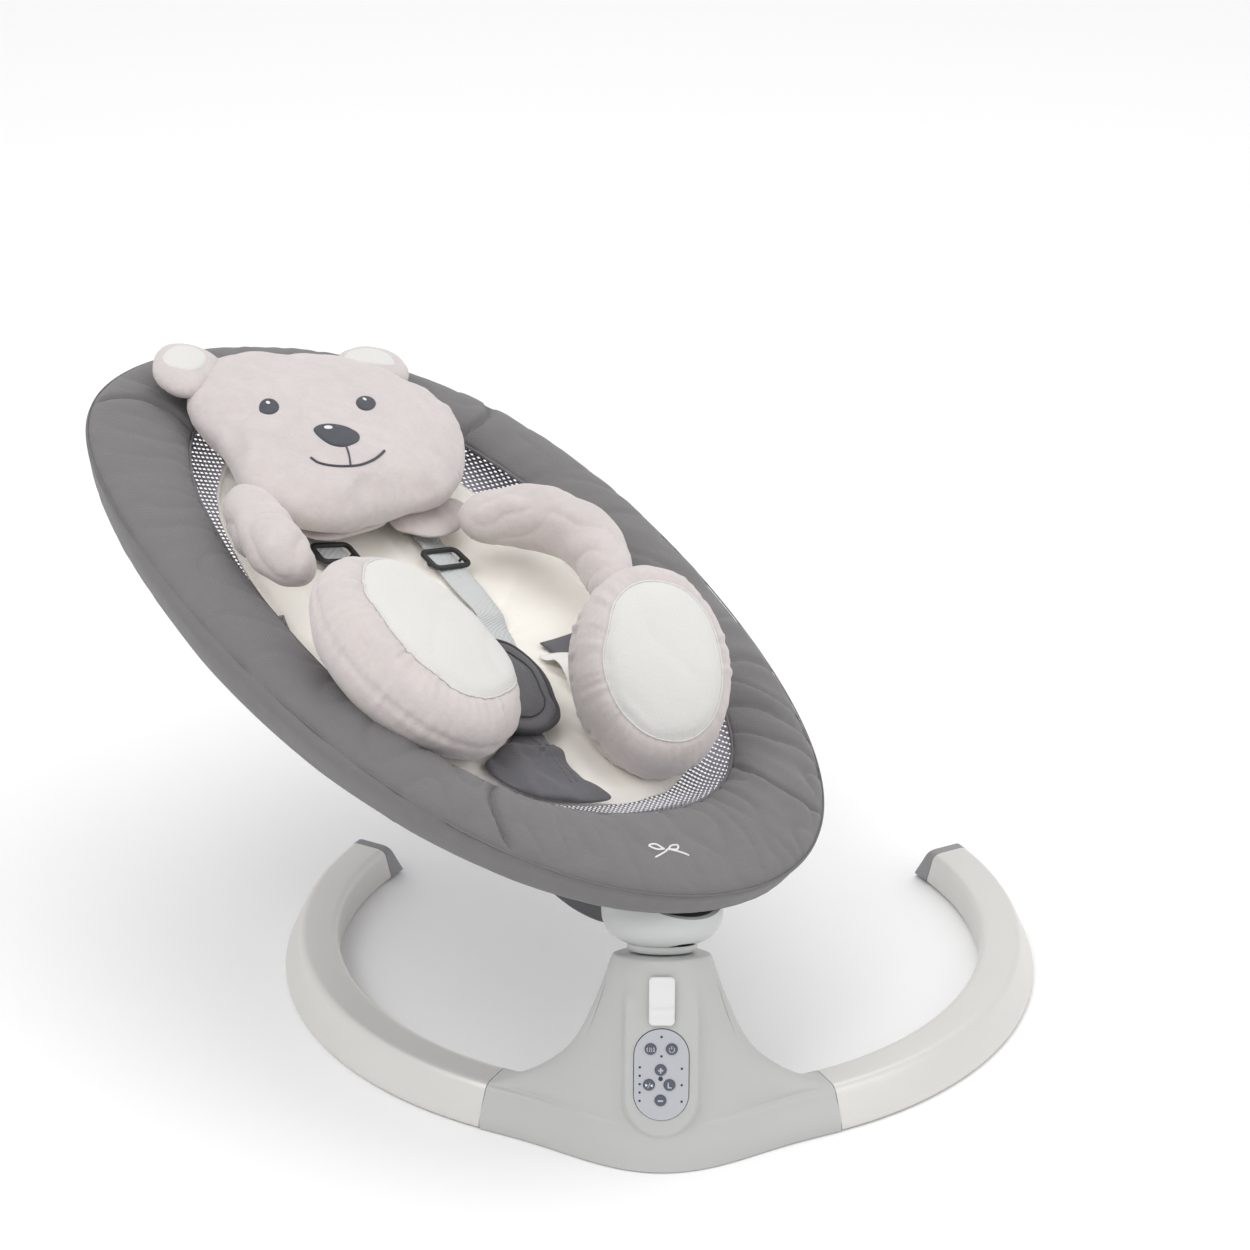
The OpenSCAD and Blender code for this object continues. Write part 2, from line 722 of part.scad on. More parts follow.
module foot_panel() {
  color("dimgray") on_seat() translate([-14, -212, pad_top + 0.3]) rounded_box([120, 60, 4], 10);
}

module waist_strap() {
  color("gray") on_seat() translate([98, -34, pad_top + 0.3]) cube([25, 50, 1.5]);
}

module harness_buckle() {
  color("dimgray") on_seat() translate([112, -62, pad_top + 0.3]) difference() {
    rounded_box([44, 50, 11], 6);
    translate([0, -2, 6]) cylinder(d = 20.4, h = 10);
  }
}

module buckle_button() {
  color("firebrick") on_seat() translate([112, -64, pad_top + 8.6]) cylinder(d = 20, h = 4);
}

module warning_tag() {
  color("whitesmoke") on_seat() translate([46, -104, pad_top + 0.3]) cube([38, 54, 0.8]);
}

base_shell();
rear_cover();
bottom_plate();
leg_tube_left();
leg_tube_right();
leg_joiner_left();
leg_joiner_right();
end_cap_left();
end_cap_right();
foot_pads();
cover_screws();
control_panel();
indicator_leds();
control_board();
speaker();
drive_motor();
motor_bracket();
bearing_sleeve();
lower_bearing();
upper_bearing();
dc_inlet();
button_music();
button_power();
button_plus();
button_minus();
button_swing();
button_timer();
lock_slider();
motor_pinion();
sector_gear();
swing_shaft();
swing_neck();
recline_carriage();
carriage_screws();
hub_bowl();
seat_bracket();
bracket_screws();
ring_tube();
spine_tube();
ring_cover();
mesh_sling();
liner_body();
bear_head();
ear_left();
ear_right();
arm_left();
arm_right();
leg_left();
leg_right();
collar_flap();
chest_strap_left();
chest_strap_right();
crotch_pad();
foot_panel();
waist_strap();
harness_buckle();
buckle_button();
strap_slider();
strap_slider_left();
warning_tag();
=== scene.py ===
"""Looks of the motorised baby swing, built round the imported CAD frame.

Soft pieces are made in the seat frame, in millimetres, and placed by the record's joints.
"""
import json
import math

import bmesh
import bpy
import numpy as np
from mathutils import Matrix, Vector, noise
from mathutils.bvhtree import BVHTree


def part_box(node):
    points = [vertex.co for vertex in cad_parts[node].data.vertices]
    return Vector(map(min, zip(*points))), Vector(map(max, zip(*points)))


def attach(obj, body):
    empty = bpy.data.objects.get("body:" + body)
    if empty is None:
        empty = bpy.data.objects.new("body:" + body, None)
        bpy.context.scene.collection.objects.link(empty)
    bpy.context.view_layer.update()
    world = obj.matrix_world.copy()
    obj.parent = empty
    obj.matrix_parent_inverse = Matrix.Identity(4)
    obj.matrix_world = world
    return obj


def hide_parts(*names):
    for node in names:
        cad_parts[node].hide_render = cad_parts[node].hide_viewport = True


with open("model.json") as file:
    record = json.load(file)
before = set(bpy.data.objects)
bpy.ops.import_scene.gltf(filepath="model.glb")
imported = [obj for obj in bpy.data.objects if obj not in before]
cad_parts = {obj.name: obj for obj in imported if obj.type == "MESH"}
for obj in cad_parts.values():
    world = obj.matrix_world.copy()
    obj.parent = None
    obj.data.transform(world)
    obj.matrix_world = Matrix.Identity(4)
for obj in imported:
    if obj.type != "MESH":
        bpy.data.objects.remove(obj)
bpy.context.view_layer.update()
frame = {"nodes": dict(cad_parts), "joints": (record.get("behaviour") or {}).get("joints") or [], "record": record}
scene = bpy.context.scene
MM = 0.001
joints = {j["name"]: j for j in frame["joints"]}


# ---------------------------------------------------------------- places from the record
def axes_matrix(x, y, z, origin):
    """Placement with these axes and this origin, for meshes in millimetres."""
    m = Matrix((x, y, z)).transposed().to_4x4()
    m.translation = origin
    return m @ Matrix.Scale(MM, 4)


hub = Vector(joints["seat_swing"]["pos_m"])
hub_axis = Vector(joints["seat_swing"]["axis"]).normalized()
across = Vector(joints["seat_recline"]["axis"]).normalized()
along = Vector(joints["strap_adjust"]["axis"]).normalized()
SEAT_BACK, SEAT_UP = 263.5, 240
HEAD = axes_matrix(across, hub_axis.cross(across), hub_axis, hub)
SEAT = axes_matrix(across, along, across.cross(along), HEAD @ Vector((0, SEAT_BACK, SEAT_UP)))
HUB = axes_matrix(Vector((1, 0, 0)), hub_axis.cross(Vector((1, 0, 0))), hub_axis, hub)
WORLD = Matrix.Scale(MM, 4)
face_out = -Vector(joints["power_press"]["axis"]).normalized()
face_up = Vector(joints["swing_lock"]["axis"]).normalized()
FACE_FRONT = 323
FACE = axes_matrix(Vector((1, 0, 0)), face_up, face_out, Vector((0, -FACE_FRONT * MM, 0)))


# ---------------------------------------------------------------- small functions
def mix(a, b, k):
    return a + (b - a) * k


def soft(v):
    v = min(1.0, max(0.0, v))
    return v * v * (3 - 2 * v)


def spow(v, e):
    return math.copysign(abs(v) ** e, v)


def bell(v, width):
    return math.exp(-((v / width) ** 2))


def curve_through(table, x):
    """Smooth value at x of a table of [x, y], without overshoot between its points."""
    xs, ys = zip(*table)
    if x <= xs[0]:
        return ys[0]
    if x >= xs[-1]:
        return ys[-1]
    i = max(k for k in range(len(xs) - 1) if xs[k] <= x)
    slope = [(ys[k + 1] - ys[k]) / (xs[k + 1] - xs[k]) for k in range(len(xs) - 1)]

    def tangent(k):
        if k in (0, len(xs) - 1):
            return slope[min(k, len(slope) - 1)]
        a, b = slope[k - 1], slope[k]
        return 0 if a * b <= 0 else 2 * a * b / (a + b)

    h = xs[i + 1] - xs[i]
    t = (x - xs[i]) / h
    return (ys[i] * (1 + 2 * t) * (1 - t) ** 2 + tangent(i) * h * t * (1 - t) ** 2
            + ys[i + 1] * t * t * (3 - 2 * t) + tangent(i + 1) * h * t * t * (t - 1))


SPLINE_STEPS = 16


def spline_piece(a, b, c, d):
    """Points of the smooth curve from b up to c, with a and d as its neighbours."""
    return [0.5 * (2 * b + (c - a) * t + (2 * a - 5 * b + 4 * c - d) * t ** 2
                   + (3 * b - a - 3 * c + d) * t ** 3)
            for t in np.linspace(0, 1, SPLINE_STEPS, endpoint=False)]


def smooth_loop(points, count):
    """Evenly spaced points of a closed smooth curve through the given ones."""
    p = np.array(points, float)
    fine = []
    for i in range(len(p)):
        a, b, c, d = p[i - 1], p[i], p[(i + 1) % len(p)], p[(i + 2) % len(p)]
        fine += spline_piece(a, b, c, d)
    return resample(np.array(fine), count, True)


def smooth_line(points, count):
    """Evenly spaced points of an open smooth curve through the given ones."""
    p = np.array(points, float)
    p = np.vstack([2 * p[0] - p[1], p, 2 * p[-1] - p[-2]])
    fine = []
    for i in range(1, len(p) - 2):
        a, b, c, d = p[i - 1], p[i], p[i + 1], p[i + 2]
        fine += spline_piece(a, b, c, d)
    fine.append(p[-2])
    return resample(np.array(fine), count, False)


def resample(p, count, closed):
    q = np.vstack([p, p[:1]]) if closed else p
    s = np.concatenate([[0], np.cumsum(np.linalg.norm(np.diff(q, axis=0), axis=1))])
    at = np.linspace(0, s[-1], count, endpoint=not closed)
    return np.stack([np.interp(at, s, q[:, k]) for k in range(q.shape[1])], 1)


def turns(n):
    """Angles of n equal steps round a circle."""
    return np.linspace(0, 2 * math.pi, n, endpoint=False)


def degrees_round(n):
    return np.linspace(0, 360, n, endpoint=False)


def degrees_from(t, centre):
    """Degrees from one place on a ring to another, from -180 to 180."""
    return (t - centre + 180) % 360 - 180


def ripple(x, y, z=0.0):
    """Smooth repeatable noise from -1 to 1."""
    return noise.noise(Vector((x, y, z)))


# ---------------------------------------------------------------- meshes
def shade_smooth(mesh, sharp=None):
    """Smooth shading, with edges steeper than sharp degrees kept hard."""
    mesh.polygons.foreach_set("use_smooth", [True] * len(mesh.polygons))
    if sharp:
        mesh.set_sharp_from_angle(angle=math.radians(sharp))


def add_mesh(name, verts, faces, place=SEAT, sharp=None):
    mesh = bpy.data.meshes.new(name)
    mesh.from_pydata([tuple(v) for v in verts], [], [tuple(f) for f in faces])
    mesh.transform(place)
    mesh.validate()
    shade_smooth(mesh, sharp)
    obj = bpy.data.objects.new(name, mesh)
    scene.collection.objects.link(obj)
    return obj


def skin_faces(rows, cols, close_rows=False, caps=True):
    """Quads between rings of points, each ring closed."""
    faces = []
    for j in range(rows if close_rows else rows - 1):
        k = (j + 1) % rows
        for i in range(cols):
            n = (i + 1) % cols
            faces.append((j * cols + i, j * cols + n, k * cols + n, k * cols + i))
    if caps and not close_rows:
        faces.append(tuple(range(cols - 1, -1, -1)))
        faces.append(tuple((rows - 1) * cols + i for i in range(cols)))
    return faces


def add_skin(name, rings, place=SEAT, close_rows=False, sharp=None):
    rings = np.array(rings, float)
    obj = add_mesh(name, rings.reshape(-1, 3),
                   skin_faces(rings.shape[0], rings.shape[1], close_rows), place, sharp)
    outward(obj)
    return obj


def outward(obj):
    b = bmesh.new()
    b.from_mesh(obj.data)
    bmesh.ops.recalc_face_normals(b, faces=b.faces)
    b.to_mesh(obj.data)
    b.free()


def apply_modifiers(obj):
    graph = bpy.context.evaluated_depsgraph_get()
    made = bpy.data.meshes.new_from_object(obj.evaluated_get(graph))
    obj.modifiers.clear()
    obj.data = made


def subdivide(obj, levels=1):
    m = obj.modifiers.new("smooth", "SUBSURF")
    m.levels = m.render_levels = levels
    apply_modifiers(obj)


def round_edges(obj, width, angle=35, segments=3):
    m = obj.modifiers.new("edges", "BEVEL")
    m.width = width * MM
    m.segments = segments
    m.limit_method = "ANGLE"
    m.angle_limit = math.radians(angle)
    m.harden_normals = False
    apply_modifiers(obj)
    shade_smooth(obj.data, 50)


def cut(obj, tool, keep="DIFFERENCE"):
    m = obj.modifiers.new("cut", "BOOLEAN")
    m.operation = keep
    m.solver = "EXACT"
    m.object = tool
    apply_modifiers(obj)
    bpy.data.objects.remove(tool)


def stadium_points(w, l, n=24):
    r, h = w / 2, (l - w) / 2
    top = [(r * math.cos(a), h + r * math.sin(a)) for a in np.linspace(0, math.pi, n)]
    return top + [(-x, -y) for x, y in top]


def prism(name, outline, z0, z1, place):
    rings = [[(x, y, z) for x, y in outline] for z in (z0, z1)]
    obj = add_skin(name, rings, place)
    obj.data.polygons.foreach_set("use_smooth", [False] * len(obj.data.polygons))
    return obj


def rounded_outline(w, h, r, n=6):
    pts = []
    for cx, cy, a0 in ((1, 1, 0), (-1, 1, 90), (-1, -1, 180), (1, -1, 270)):
        for a in np.linspace(a0, a0 + 90, n):
            pts.append((cx * (w / 2 - r) + r * math.cos(math.radians(a)),
                        cy * (h / 2 - r) + r * math.sin(math.radians(a))))
    return pts


def tube_along(name, points, radius, place=SEAT, closed=False, sides=8):
    """Round bead along a line of points."""
    p = np.array(points, float)
    n = len(p)
    rings = []
    for i in range(n):
        a = p[i - 1] if closed or i else p[0]
        b = p[(i + 1) % n] if closed or i < n - 1 else p[-1]
        t = (b - a) / np.linalg.norm(b - a)
        side = np.cross(t, (0, 0, 1))
        side /= max(np.linalg.norm(side), 1e-9)
        up = np.cross(side, t)
        r = radius(i / (n - 1)) if callable(radius) else radius
        rings.append([p[i] + r * (math.cos(k) * side + math.sin(k) * up)
                      for k in turns(sides)])
    return add_skin(name, rings, place, close_rows=closed)


def join(parts):
    """All parts as one object, which is the first of them."""
    if len(parts) > 1:
        with bpy.context.temp_override(active_object=parts[0], object=parts[0],
                                       selected_editable_objects=parts, selected_objects=parts):
            bpy.ops.object.join()
    return parts[0]


def surface_of(obj):
    graph = bpy.context.evaluated_depsgraph_get()
    return BVHTree.FromObject(obj, graph)


def drop(tree, place, p, lift=0.0, reach=200):
    """Point p of a local frame dropped along the frame's -Z onto a surface, then lifted, in mm."""
    inverse = place.inverted()
    start = place @ Vector((p[0], p[1], reach))
    down = (place.to_3x3() @ Vector((0, 0, -1))).normalized()
    hit = tree.ray_cast(start, down)
    z = (inverse @ hit[0])[2] if hit[0] is not None else 0.0
    return (p[0], p[1], z + lift)


def applique(name, outline, tree, place, height, rings=14, sink=0.6, count=72, edge=3.0):
    """Raised patch of cloth or embroidery inside an outline, lying on a surface."""
    loop = smooth_loop(outline, count)
    centre = loop.mean(0)
    size = np.linalg.norm(loop - centre, axis=1).mean()
    verts = []
    ks = [0.02] + [1 - (1 - j / rings) ** 1.6 for j in range(1, rings)] + [1.0, 1.004]
    for n, k in enumerate(ks):
        inset = (1 - min(k, 1)) * size
        lift = height * math.sqrt(min(1, inset / edge)) if n < len(ks) - 1 else -sink
        for q in loop:
            x, y = centre + (q - centre) * k
            verts.append(drop(tree, place, (x, y), lift))
    faces = skin_faces(len(ks), count, caps=False) + [tuple(range(count - 1, -1, -1))]
    obj = add_mesh(name, verts, faces, place)
    outward(obj)
    return obj


def ribbon(name, points, width, thick, ups=None, place=SEAT):
    """Flat strap through points [x, y, z], with its flat side facing ups."""
    p = np.array(points, float)
    n = len(p)
    rings = []
    for i in range(n):
        t = p[min(n - 1, i + 1)] - p[max(0, i - 1)]
        t /= np.linalg.norm(t)
        up = np.array((0, 0, 1) if ups is None else ups[i], float)
        side = np.cross(t, up)
        side /= np.linalg.norm(side)
        up = np.cross(side, t)
        w, h = width / 2, thick / 2
        shape = [(-w, -h * 0.5), (-w + 0.6, -h), (0, -h), (w - 0.6, -h), (w, -h * 0.5),
                 (w, h * 0.5), (w - 0.6, h), (w * 0.5, h * 1.05), (0, h), (-w * 0.5, h * 1.05),
                 (-w + 0.6, h), (-w, h * 0.5)]
        rings.append([p[i] + side * a + up * b for a, b in shape])
    return add_skin(name, rings, place)


def displace(obj, how, place=SEAT):
    """Moves each vertex along its normal by how(point, normal), in the local frame and mm."""
    inverse = place.inverted()
    turn = inverse.to_3x3()
    moves = []
    for v in obj.data.vertices:
        n = (turn @ v.normal).normalized()
        moves.append(v.co + v.normal * (how(inverse @ v.co, n) * MM))
    for v, co in zip(obj.data.vertices, moves):
        v.co = co
    obj.data.update()


SIM_FRAMES = 20


def blow_up(jobs):
    """Cloth simulation of closed pillows under pressure: jobs are (object, voxel, cap in mm)."""
    for obj, voxel, _ in jobs:
        m = obj.modifiers.new("even", "REMESH")
        m.mode = "VOXEL"
        m.voxel_size = voxel * MM
        apply_modifiers(obj)
    before = {}
    for obj, _, _ in jobs:
        before[obj.name] = np.array([v.co for v in obj.data.vertices])
        m = obj.modifiers.new("Cloth", "CLOTH")
        s = m.settings
        s.use_pressure = True
        s.uniform_pressure_force = 4
        s.quality = 5
        s.mass = 0.25
        s.tension_stiffness = s.compression_stiffness = 12
        s.shear_stiffness = 4
        s.bending_stiffness = 0.4
        s.effector_weights.gravity = 0
        m.collision_settings.use_collision = False
    scene.frame_start, scene.frame_end = 1, SIM_FRAMES
    for f in range(1, SIM_FRAMES + 1):
        scene.frame_set(f)
    for obj, _, cap in jobs:
        apply_modifiers(obj)
        now = np.array([v.co for v in obj.data.vertices])
        move = now - before[obj.name]
        far = np.linalg.norm(move, axis=1)
        limit = cap * MM
        scale = np.where(far > 1e-9, limit * np.tanh(far / limit) / np.maximum(far, 1e-9), 0)
        now = before[obj.name] + move * scale[:, None]
        obj.data.vertices.foreach_set("co", now.astype(np.float32).ravel())
    scene.frame_set(1)
    for obj, _, _ in jobs:
        relax(obj, 2)
        subdivide(obj)
        shade_smooth(obj.data)


def relax(obj, rounds):
    m = obj.modifiers.new("relax", "SMOOTH")
    m.factor = 0.5
    m.iterations = rounds
    apply_modifiers(obj)


# ---------------------------------------------------------------- materials
def linear(srgb):
    return tuple((c / 255 / 12.92) if c / 255 <= 0.04045 else ((c / 255 + 0.055) / 1.055) ** 2.4
                 for c in srgb) + (1.0,)


def shader(name, srgb, rough, metallic=0.0, sheen=0.0, coat=0.0, vary=(), bumps=(), specular=0.5,
           rough_vary=0.0, sheen_rough=0.5):
    """Principled material. vary: (noise scale, share of lightness); bumps: (scale, mm, kind)."""
    m = bpy.data.materials.new(name)
    m.use_nodes = True
    t = m.node_tree
    p = t.nodes["Principled BSDF"]
    p.inputs["Base Color"].default_value = linear(srgb)
    p.inputs["Roughness"].default_value = rough
    p.inputs["Metallic"].default_value = metallic
    p.inputs["Specular IOR Level"].default_value = specular
    p.inputs["Sheen Weight"].default_value = sheen
    p.inputs["Sheen Roughness"].default_value = sheen_rough
    p.inputs["Coat Weight"].default_value = coat
    p.inputs["Coat Roughness"].default_value = 0.25
    where = t.nodes.new("ShaderNodeTexCoord").outputs["Object"]

    def texture(kind, scale, detail=None):
        n = t.nodes.new(kind)
        n.inputs["Scale"].default_value = scale
        if detail is not None:
            n.inputs["Detail"].default_value = detail
        t.links.new(where, n.inputs["Vector"])
        return n

    def spread(n, low, high):
        span = t.nodes.new("ShaderNodeMapRange")
        span.inputs["To Min"].default_value = low
        span.inputs["To Max"].default_value = high
        t.links.new(n.outputs["Fac"], span.inputs["Value"])
        return span

    last = None
    for scale, share in vary:
        span = spread(texture("ShaderNodeTexNoise", scale, 4), 1 - share, 1 + share)
        span.inputs["From Min"].default_value = 0.25
        span.inputs["From Max"].default_value = 0.75
        tint = t.nodes.new("ShaderNodeVectorMath")
        tint.operation = "SCALE"
        if last is None:
            tint.inputs[0].default_value = linear(srgb)[:3]
        else:
            t.links.new(last, tint.inputs[0])
        t.links.new(span.outputs["Result"], tint.inputs["Scale"])
        last = tint.outputs[0]
    if last is not None:
        t.links.new(last, p.inputs["Base Color"])
    normal = None
    for scale, mm, kind in bumps:
        if kind == "cells":
            n = texture("ShaderNodeTexVoronoi", scale)
        elif kind == "noise":
            n = texture("ShaderNodeTexNoise", scale, 3)
        else:
            n = texture("ShaderNodeTexWave", scale, 1)
            n.bands_direction = kind.upper()
            n.inputs["Distortion"].default_value = 1.5
        b = t.nodes.new("ShaderNodeBump")
        b.inputs["Distance"].default_value = mm * MM
        b.inputs["Strength"].default_value = 1
        t.links.new(n.outputs["Distance" if kind == "cells" else "Fac"], b.inputs["Height"])
        if normal is not None:
            t.links.new(normal, b.inputs["Normal"])
        normal = b.outputs["Normal"]
    if normal is not None:
        t.links.new(normal, p.inputs["Normal"])
    if rough_vary:
        span = spread(texture("ShaderNodeTexNoise", 60), rough - rough_vary, rough + rough_vary)
        t.links.new(span.outputs["Result"], p.inputs["Roughness"])
    return m


WEAVE = [(420, 0.12, "x"), (420, 0.12, "z"), (900, 0.08, "noise")]
MATERIALS = {
    "housing_plastic": shader("housing", (181, 182, 180), 0.38, vary=[(9, 0.012)],
                              bumps=[(1500, 0.010, "noise")], rough_vary=0.05),
    "bowl_plastic": shader("bowl", (192, 194, 193), 0.33, vary=[(9, 0.01)],
                           bumps=[(1500, 0.006, "noise")], rough_vary=0.04),
    "tube_paint": shader("tube_paint", (212, 210, 206), 0.36, metallic=0.35,
                         vary=[(12, 0.015), (2600, 0.05)], bumps=[(2400, 0.020, "noise")],
                         rough_vary=0.05),
    "dark_plastic": shader("dark_plastic", (44, 44, 46), 0.5, vary=[(20, 0.05)],
                           bumps=[(1200, 0.02, "noise")]),
    "cap_plastic": shader("cap_plastic", (141, 141, 144), 0.55, vary=[(20, 0.03)],
                          bumps=[(1300, 0.03, "noise")]),
    "white_plastic": shader("white_plastic", (217, 217, 217), 0.35, vary=[(30, 0.01)],
                            bumps=[(1500, 0.004, "noise")]),
    "rubber_pad": shader("rubber_pad", (60, 60, 60), 0.8, vary=[(60, 0.08)],
                         bumps=[(900, 0.05, "noise")]),
    "panel_silver": shader("panel_silver", (182, 184, 189), 0.36, metallic=0.35,
                           vary=[(15, 0.015), (2500, 0.03)], bumps=[(2500, 0.01, "noise")]),
    "led_lens": shader("led_lens", (30, 32, 38), 0.2, vary=[(200, 0.1)], coat=0.4),
    "button_slate": shader("button_slate", (78, 84, 98), 0.42, vary=[(90, 0.04)],
                           bumps=[(1500, 0.01, "noise")]),
    "circuit_board": shader("circuit_board", (24, 96, 52), 0.45, vary=[(160, 0.1)]),
    "steel": shader("steel", (190, 190, 192), 0.3, metallic=1, vary=[(80, 0.04)],
                    bumps=[(1200, 0.01, "noise")]),
    "motor_steel": shader("motor_steel", (168, 168, 170), 0.35, metallic=1, vary=[(80, 0.04)],
                          bumps=[(1200, 0.01, "noise")]),
    "gear_nylon": shader("gear_nylon", (222, 214, 190), 0.45, vary=[(80, 0.03)]),
    "frame_steel": shader("frame_steel", (66, 66, 71), 0.45, vary=[(40, 0.05)],
                          bumps=[(900, 0.03, "noise")]),
    "ring_fabric": shader("ring_fabric", (112, 110, 111), 0.86, sheen=0.18,
                          vary=[(7, 0.035), (60, 0.03), (1300, 0.07)], bumps=WEAVE),
    "mesh_fabric": shader("mesh_fabric", (170, 166, 178), 0.8, sheen=0.1,
                          vary=[(20, 0.04)], bumps=[(1400, 0.1, "noise")]),
    "cream_plush": shader("cream_plush", (246, 242, 234), 0.95, sheen=0.3,
                          vary=[(14, 0.02), (900, 0.02)], bumps=[(700, 0.25, "noise"),
                                                                 (160, 0.3, "noise")]),
    "bear_plush": shader("bear_plush", (198, 190, 188), 0.95, sheen=0.35,
                         vary=[(11, 0.04), (60, 0.045), (220, 0.03), (900, 0.03)],
                         bumps=[(700, 0.3, "noise"), (150, 0.5, "noise")]),
    "dark_fabric": shader("dark_fabric", (98, 97, 101), 0.88, sheen=0.15,
                          vary=[(20, 0.04), (1300, 0.06)], bumps=WEAVE),
    "webbing": shader("webbing", (196, 200, 199), 0.75, sheen=0.1, vary=[(40, 0.02)],
                      bumps=[(260, 0.3, "z"), (900, 0.1, "noise")]),
    "tag_fabric": shader("tag_fabric", (236, 233, 230), 0.6, vary=[(60, 0.02)],
                         bumps=[(1200, 0.05, "noise")]),
    "red_button": shader("red_button", (190, 62, 58), 0.4, vary=[(60, 0.03)]),
}
EMBROIDERY = shader("embroidery", (72, 77, 88), 0.7, sheen=0.2, vary=[(400, 0.12)],
                    bumps=[(520, 0.5, "x"), (1200, 0.2, "noise")])
WHITE_THREAD = shader("white_thread", (226, 226, 224), 0.7, sheen=0.2, vary=[(400, 0.03)],
                      bumps=[(700, 0.3, "noise")])
SOLE = shader("sole_cloth", (211, 210, 207), 0.95, sheen=0.3, vary=[(20, 0.015), (700, 0.02)],
              bumps=[(600, 0.25, "noise"), (120, 0.35, "noise")])
BLACK_BINDING = shader("black_binding", (58, 57, 60), 0.8, sheen=0.15, vary=[(200, 0.06)],
                       bumps=[(700, 0.15, "noise")])
ICON_WHITE = shader("icon_white", (236, 238, 240), 0.5, vary=[(300, 0.02)])
SEAM_THREAD = shader("seam_thread", (112, 110, 113), 0.85, vary=[(300, 0.08)],
                     bumps=[(900, 0.1, "noise")])

for sub in frame["record"]["subparts"]:
    node = frame["nodes"].get(sub["node"])
    if node is not None:
        node.data.materials.clear()
        node.data.materials.append(MATERIALS[sub["material_slot"]])


def dress(obj, body, slot, material=None, stands_for=()):
    obj.data.materials.clear()
    obj.data.materials.append(material or MATERIALS[slot])
    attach(obj, body)
    if stands_for:
        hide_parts(*stands_for)
    return obj


# ---------------------------------------------------------------- camera and light
def make_camera():
    data = bpy.data.cameras.new("camera")
    data.sensor_width = 36
    data.lens = 132.48
    cam = bpy.data.objects.new("camera", data)
    scene.collection.objects.link(cam)
    cam.location = (-0.0254, -3.2208, 1.7818)
    cam.rotation_euler = (Matrix.Rotation(math.radians(0.066), 3, "Z")
                          @ Matrix.Rotation(math.radians(90 - 24.808), 3, "X")
                          @ Matrix.Rotation(math.radians(0.38), 3, "Z")).to_euler()
    data.clip_end = 100
    scene.camera = cam


def area_light(name, at, target, size, power, tint=(1, 1, 1)):
    data = bpy.data.lights.new(name, "AREA")
    data.shape = "SQUARE"
    data.size = size
    data.energy = power * LIGHT
    data.color = tint
    obj = bpy.data.objects.new(name, data)
    scene.collection.objects.link(obj)
    obj.location = at
    obj.rotation_euler = (Vector(target) - Vector(at)).to_track_quat("-Z", "Y").to_euler()


LIGHT = 0.72


def studio():
    world = bpy.data.worlds.new("studio")
    scene.world = world
    scene.view_settings.view_transform = "Standard"
    world.use_nodes = True
    world.node_tree.nodes["Background"].inputs[0].default_value = (1, 1, 1, 1)
    world.node_tree.nodes["Background"].inputs[1].default_value = 0.86
    middle = (0, 0, 0.2)
    area_light("key", (-1.3, -1.6, 2.6), middle, 1.6, 34)
    area_light("fill", (2.2, -1.4, 1.6), middle, 2.0, 14)
    area_light("top", (0.2, 0.8, 2.8), middle, 2.2, 22)
    bpy.ops.mesh.primitive_plane_add(size=40)
    floor = bpy.context.object
    floor.name = "floor"
    floor.data.materials.append(shader("floor", (250, 250, 250), 0.9, vary=[(2, 0.002)]))


make_camera()
studio()


# ---------------------------------------------------------------- seat ring
SEAM_W, SEAM_L, INNER_W = 260, 380, 175
PANEL_SEAMS = (42, 142, 214, 320)
TUBE_IN, TUBE_Z, HUG_R = 21, -14, 10.6


def seam(t):
    a = math.radians(t)
    full = 8 * bell((t % 360) - 318, 20)
    x = SEAM_W * math.sin(a) * (1 + 0.08 * math.cos(a) + 0.07 * math.cos(2 * a))
    y = SEAM_L * math.cos(a)
    return np.array((x + full * math.sin(a), y + full * math.cos(a)))


def inner(t):
    a = math.radians(t)
    c = math.cos(a)
    return np.array((INNER_W * spow(math.sin(a), 0.87), 5 + (305 if c > 0 else 285) * spow(c, 0.87)))


def across_ring(t):
    """Outer seam point, inner edge point and the direction from the first to the second."""
    o, v = seam(t), inner(t)
    return o, v, (v - o) / np.linalg.norm(v - o)


def near_seam(t, d):
    """Distance in mm from the nearest panel seam, which curves a little across the ring."""
    best = 1e9
    for s in PANEL_SEAMS:
        bend = 3.5 * math.sin(d / 30)
        best = min(best, abs((t - s - bend + 180) % 360 - 180) * 5.0)
    return best


def ring_section(t):
    """(d, z) points round the cover: top panel, lip, hidden side, tube, side band."""
    w = np.linalg.norm(inner(t) - seam(t))
    top = [(0.8, 1.6), (3, 4.4), (7, 6.8), (0.16 * w, 8.8), (0.28 * w, 10.6), (0.42 * w, 11.6),
           (0.56 * w, 11.6), (0.7 * w, 10.6), (0.82 * w, 8.8), (0.92 * w, 6), (0.97 * w, 3.9), (w, 1.6)]
    lip = [(w + 0.5, -0.3), (w - 1.5, -2.2)]
    hug = [(TUBE_IN + HUG_R * math.cos(a), TUBE_Z + HUG_R * math.sin(a))
           for a in np.radians(np.linspace(50, 290, 8))]
    g = 8.5 * bell(degrees_from(t, 256), 34)
    band = [(25, -26 - 0.5 * g), (16, -26.6 - 0.7 * g), (8.5 - 0.8 * g, -22 - 0.7 * g),
            (4 - 1.05 * g, -13 - 0.45 * g), (0.6 - 0.9 * g, -4.8 - 0.25 * g), (-1.2 - 0.4 * g, -1.3)]
    return top, lip, hug, band


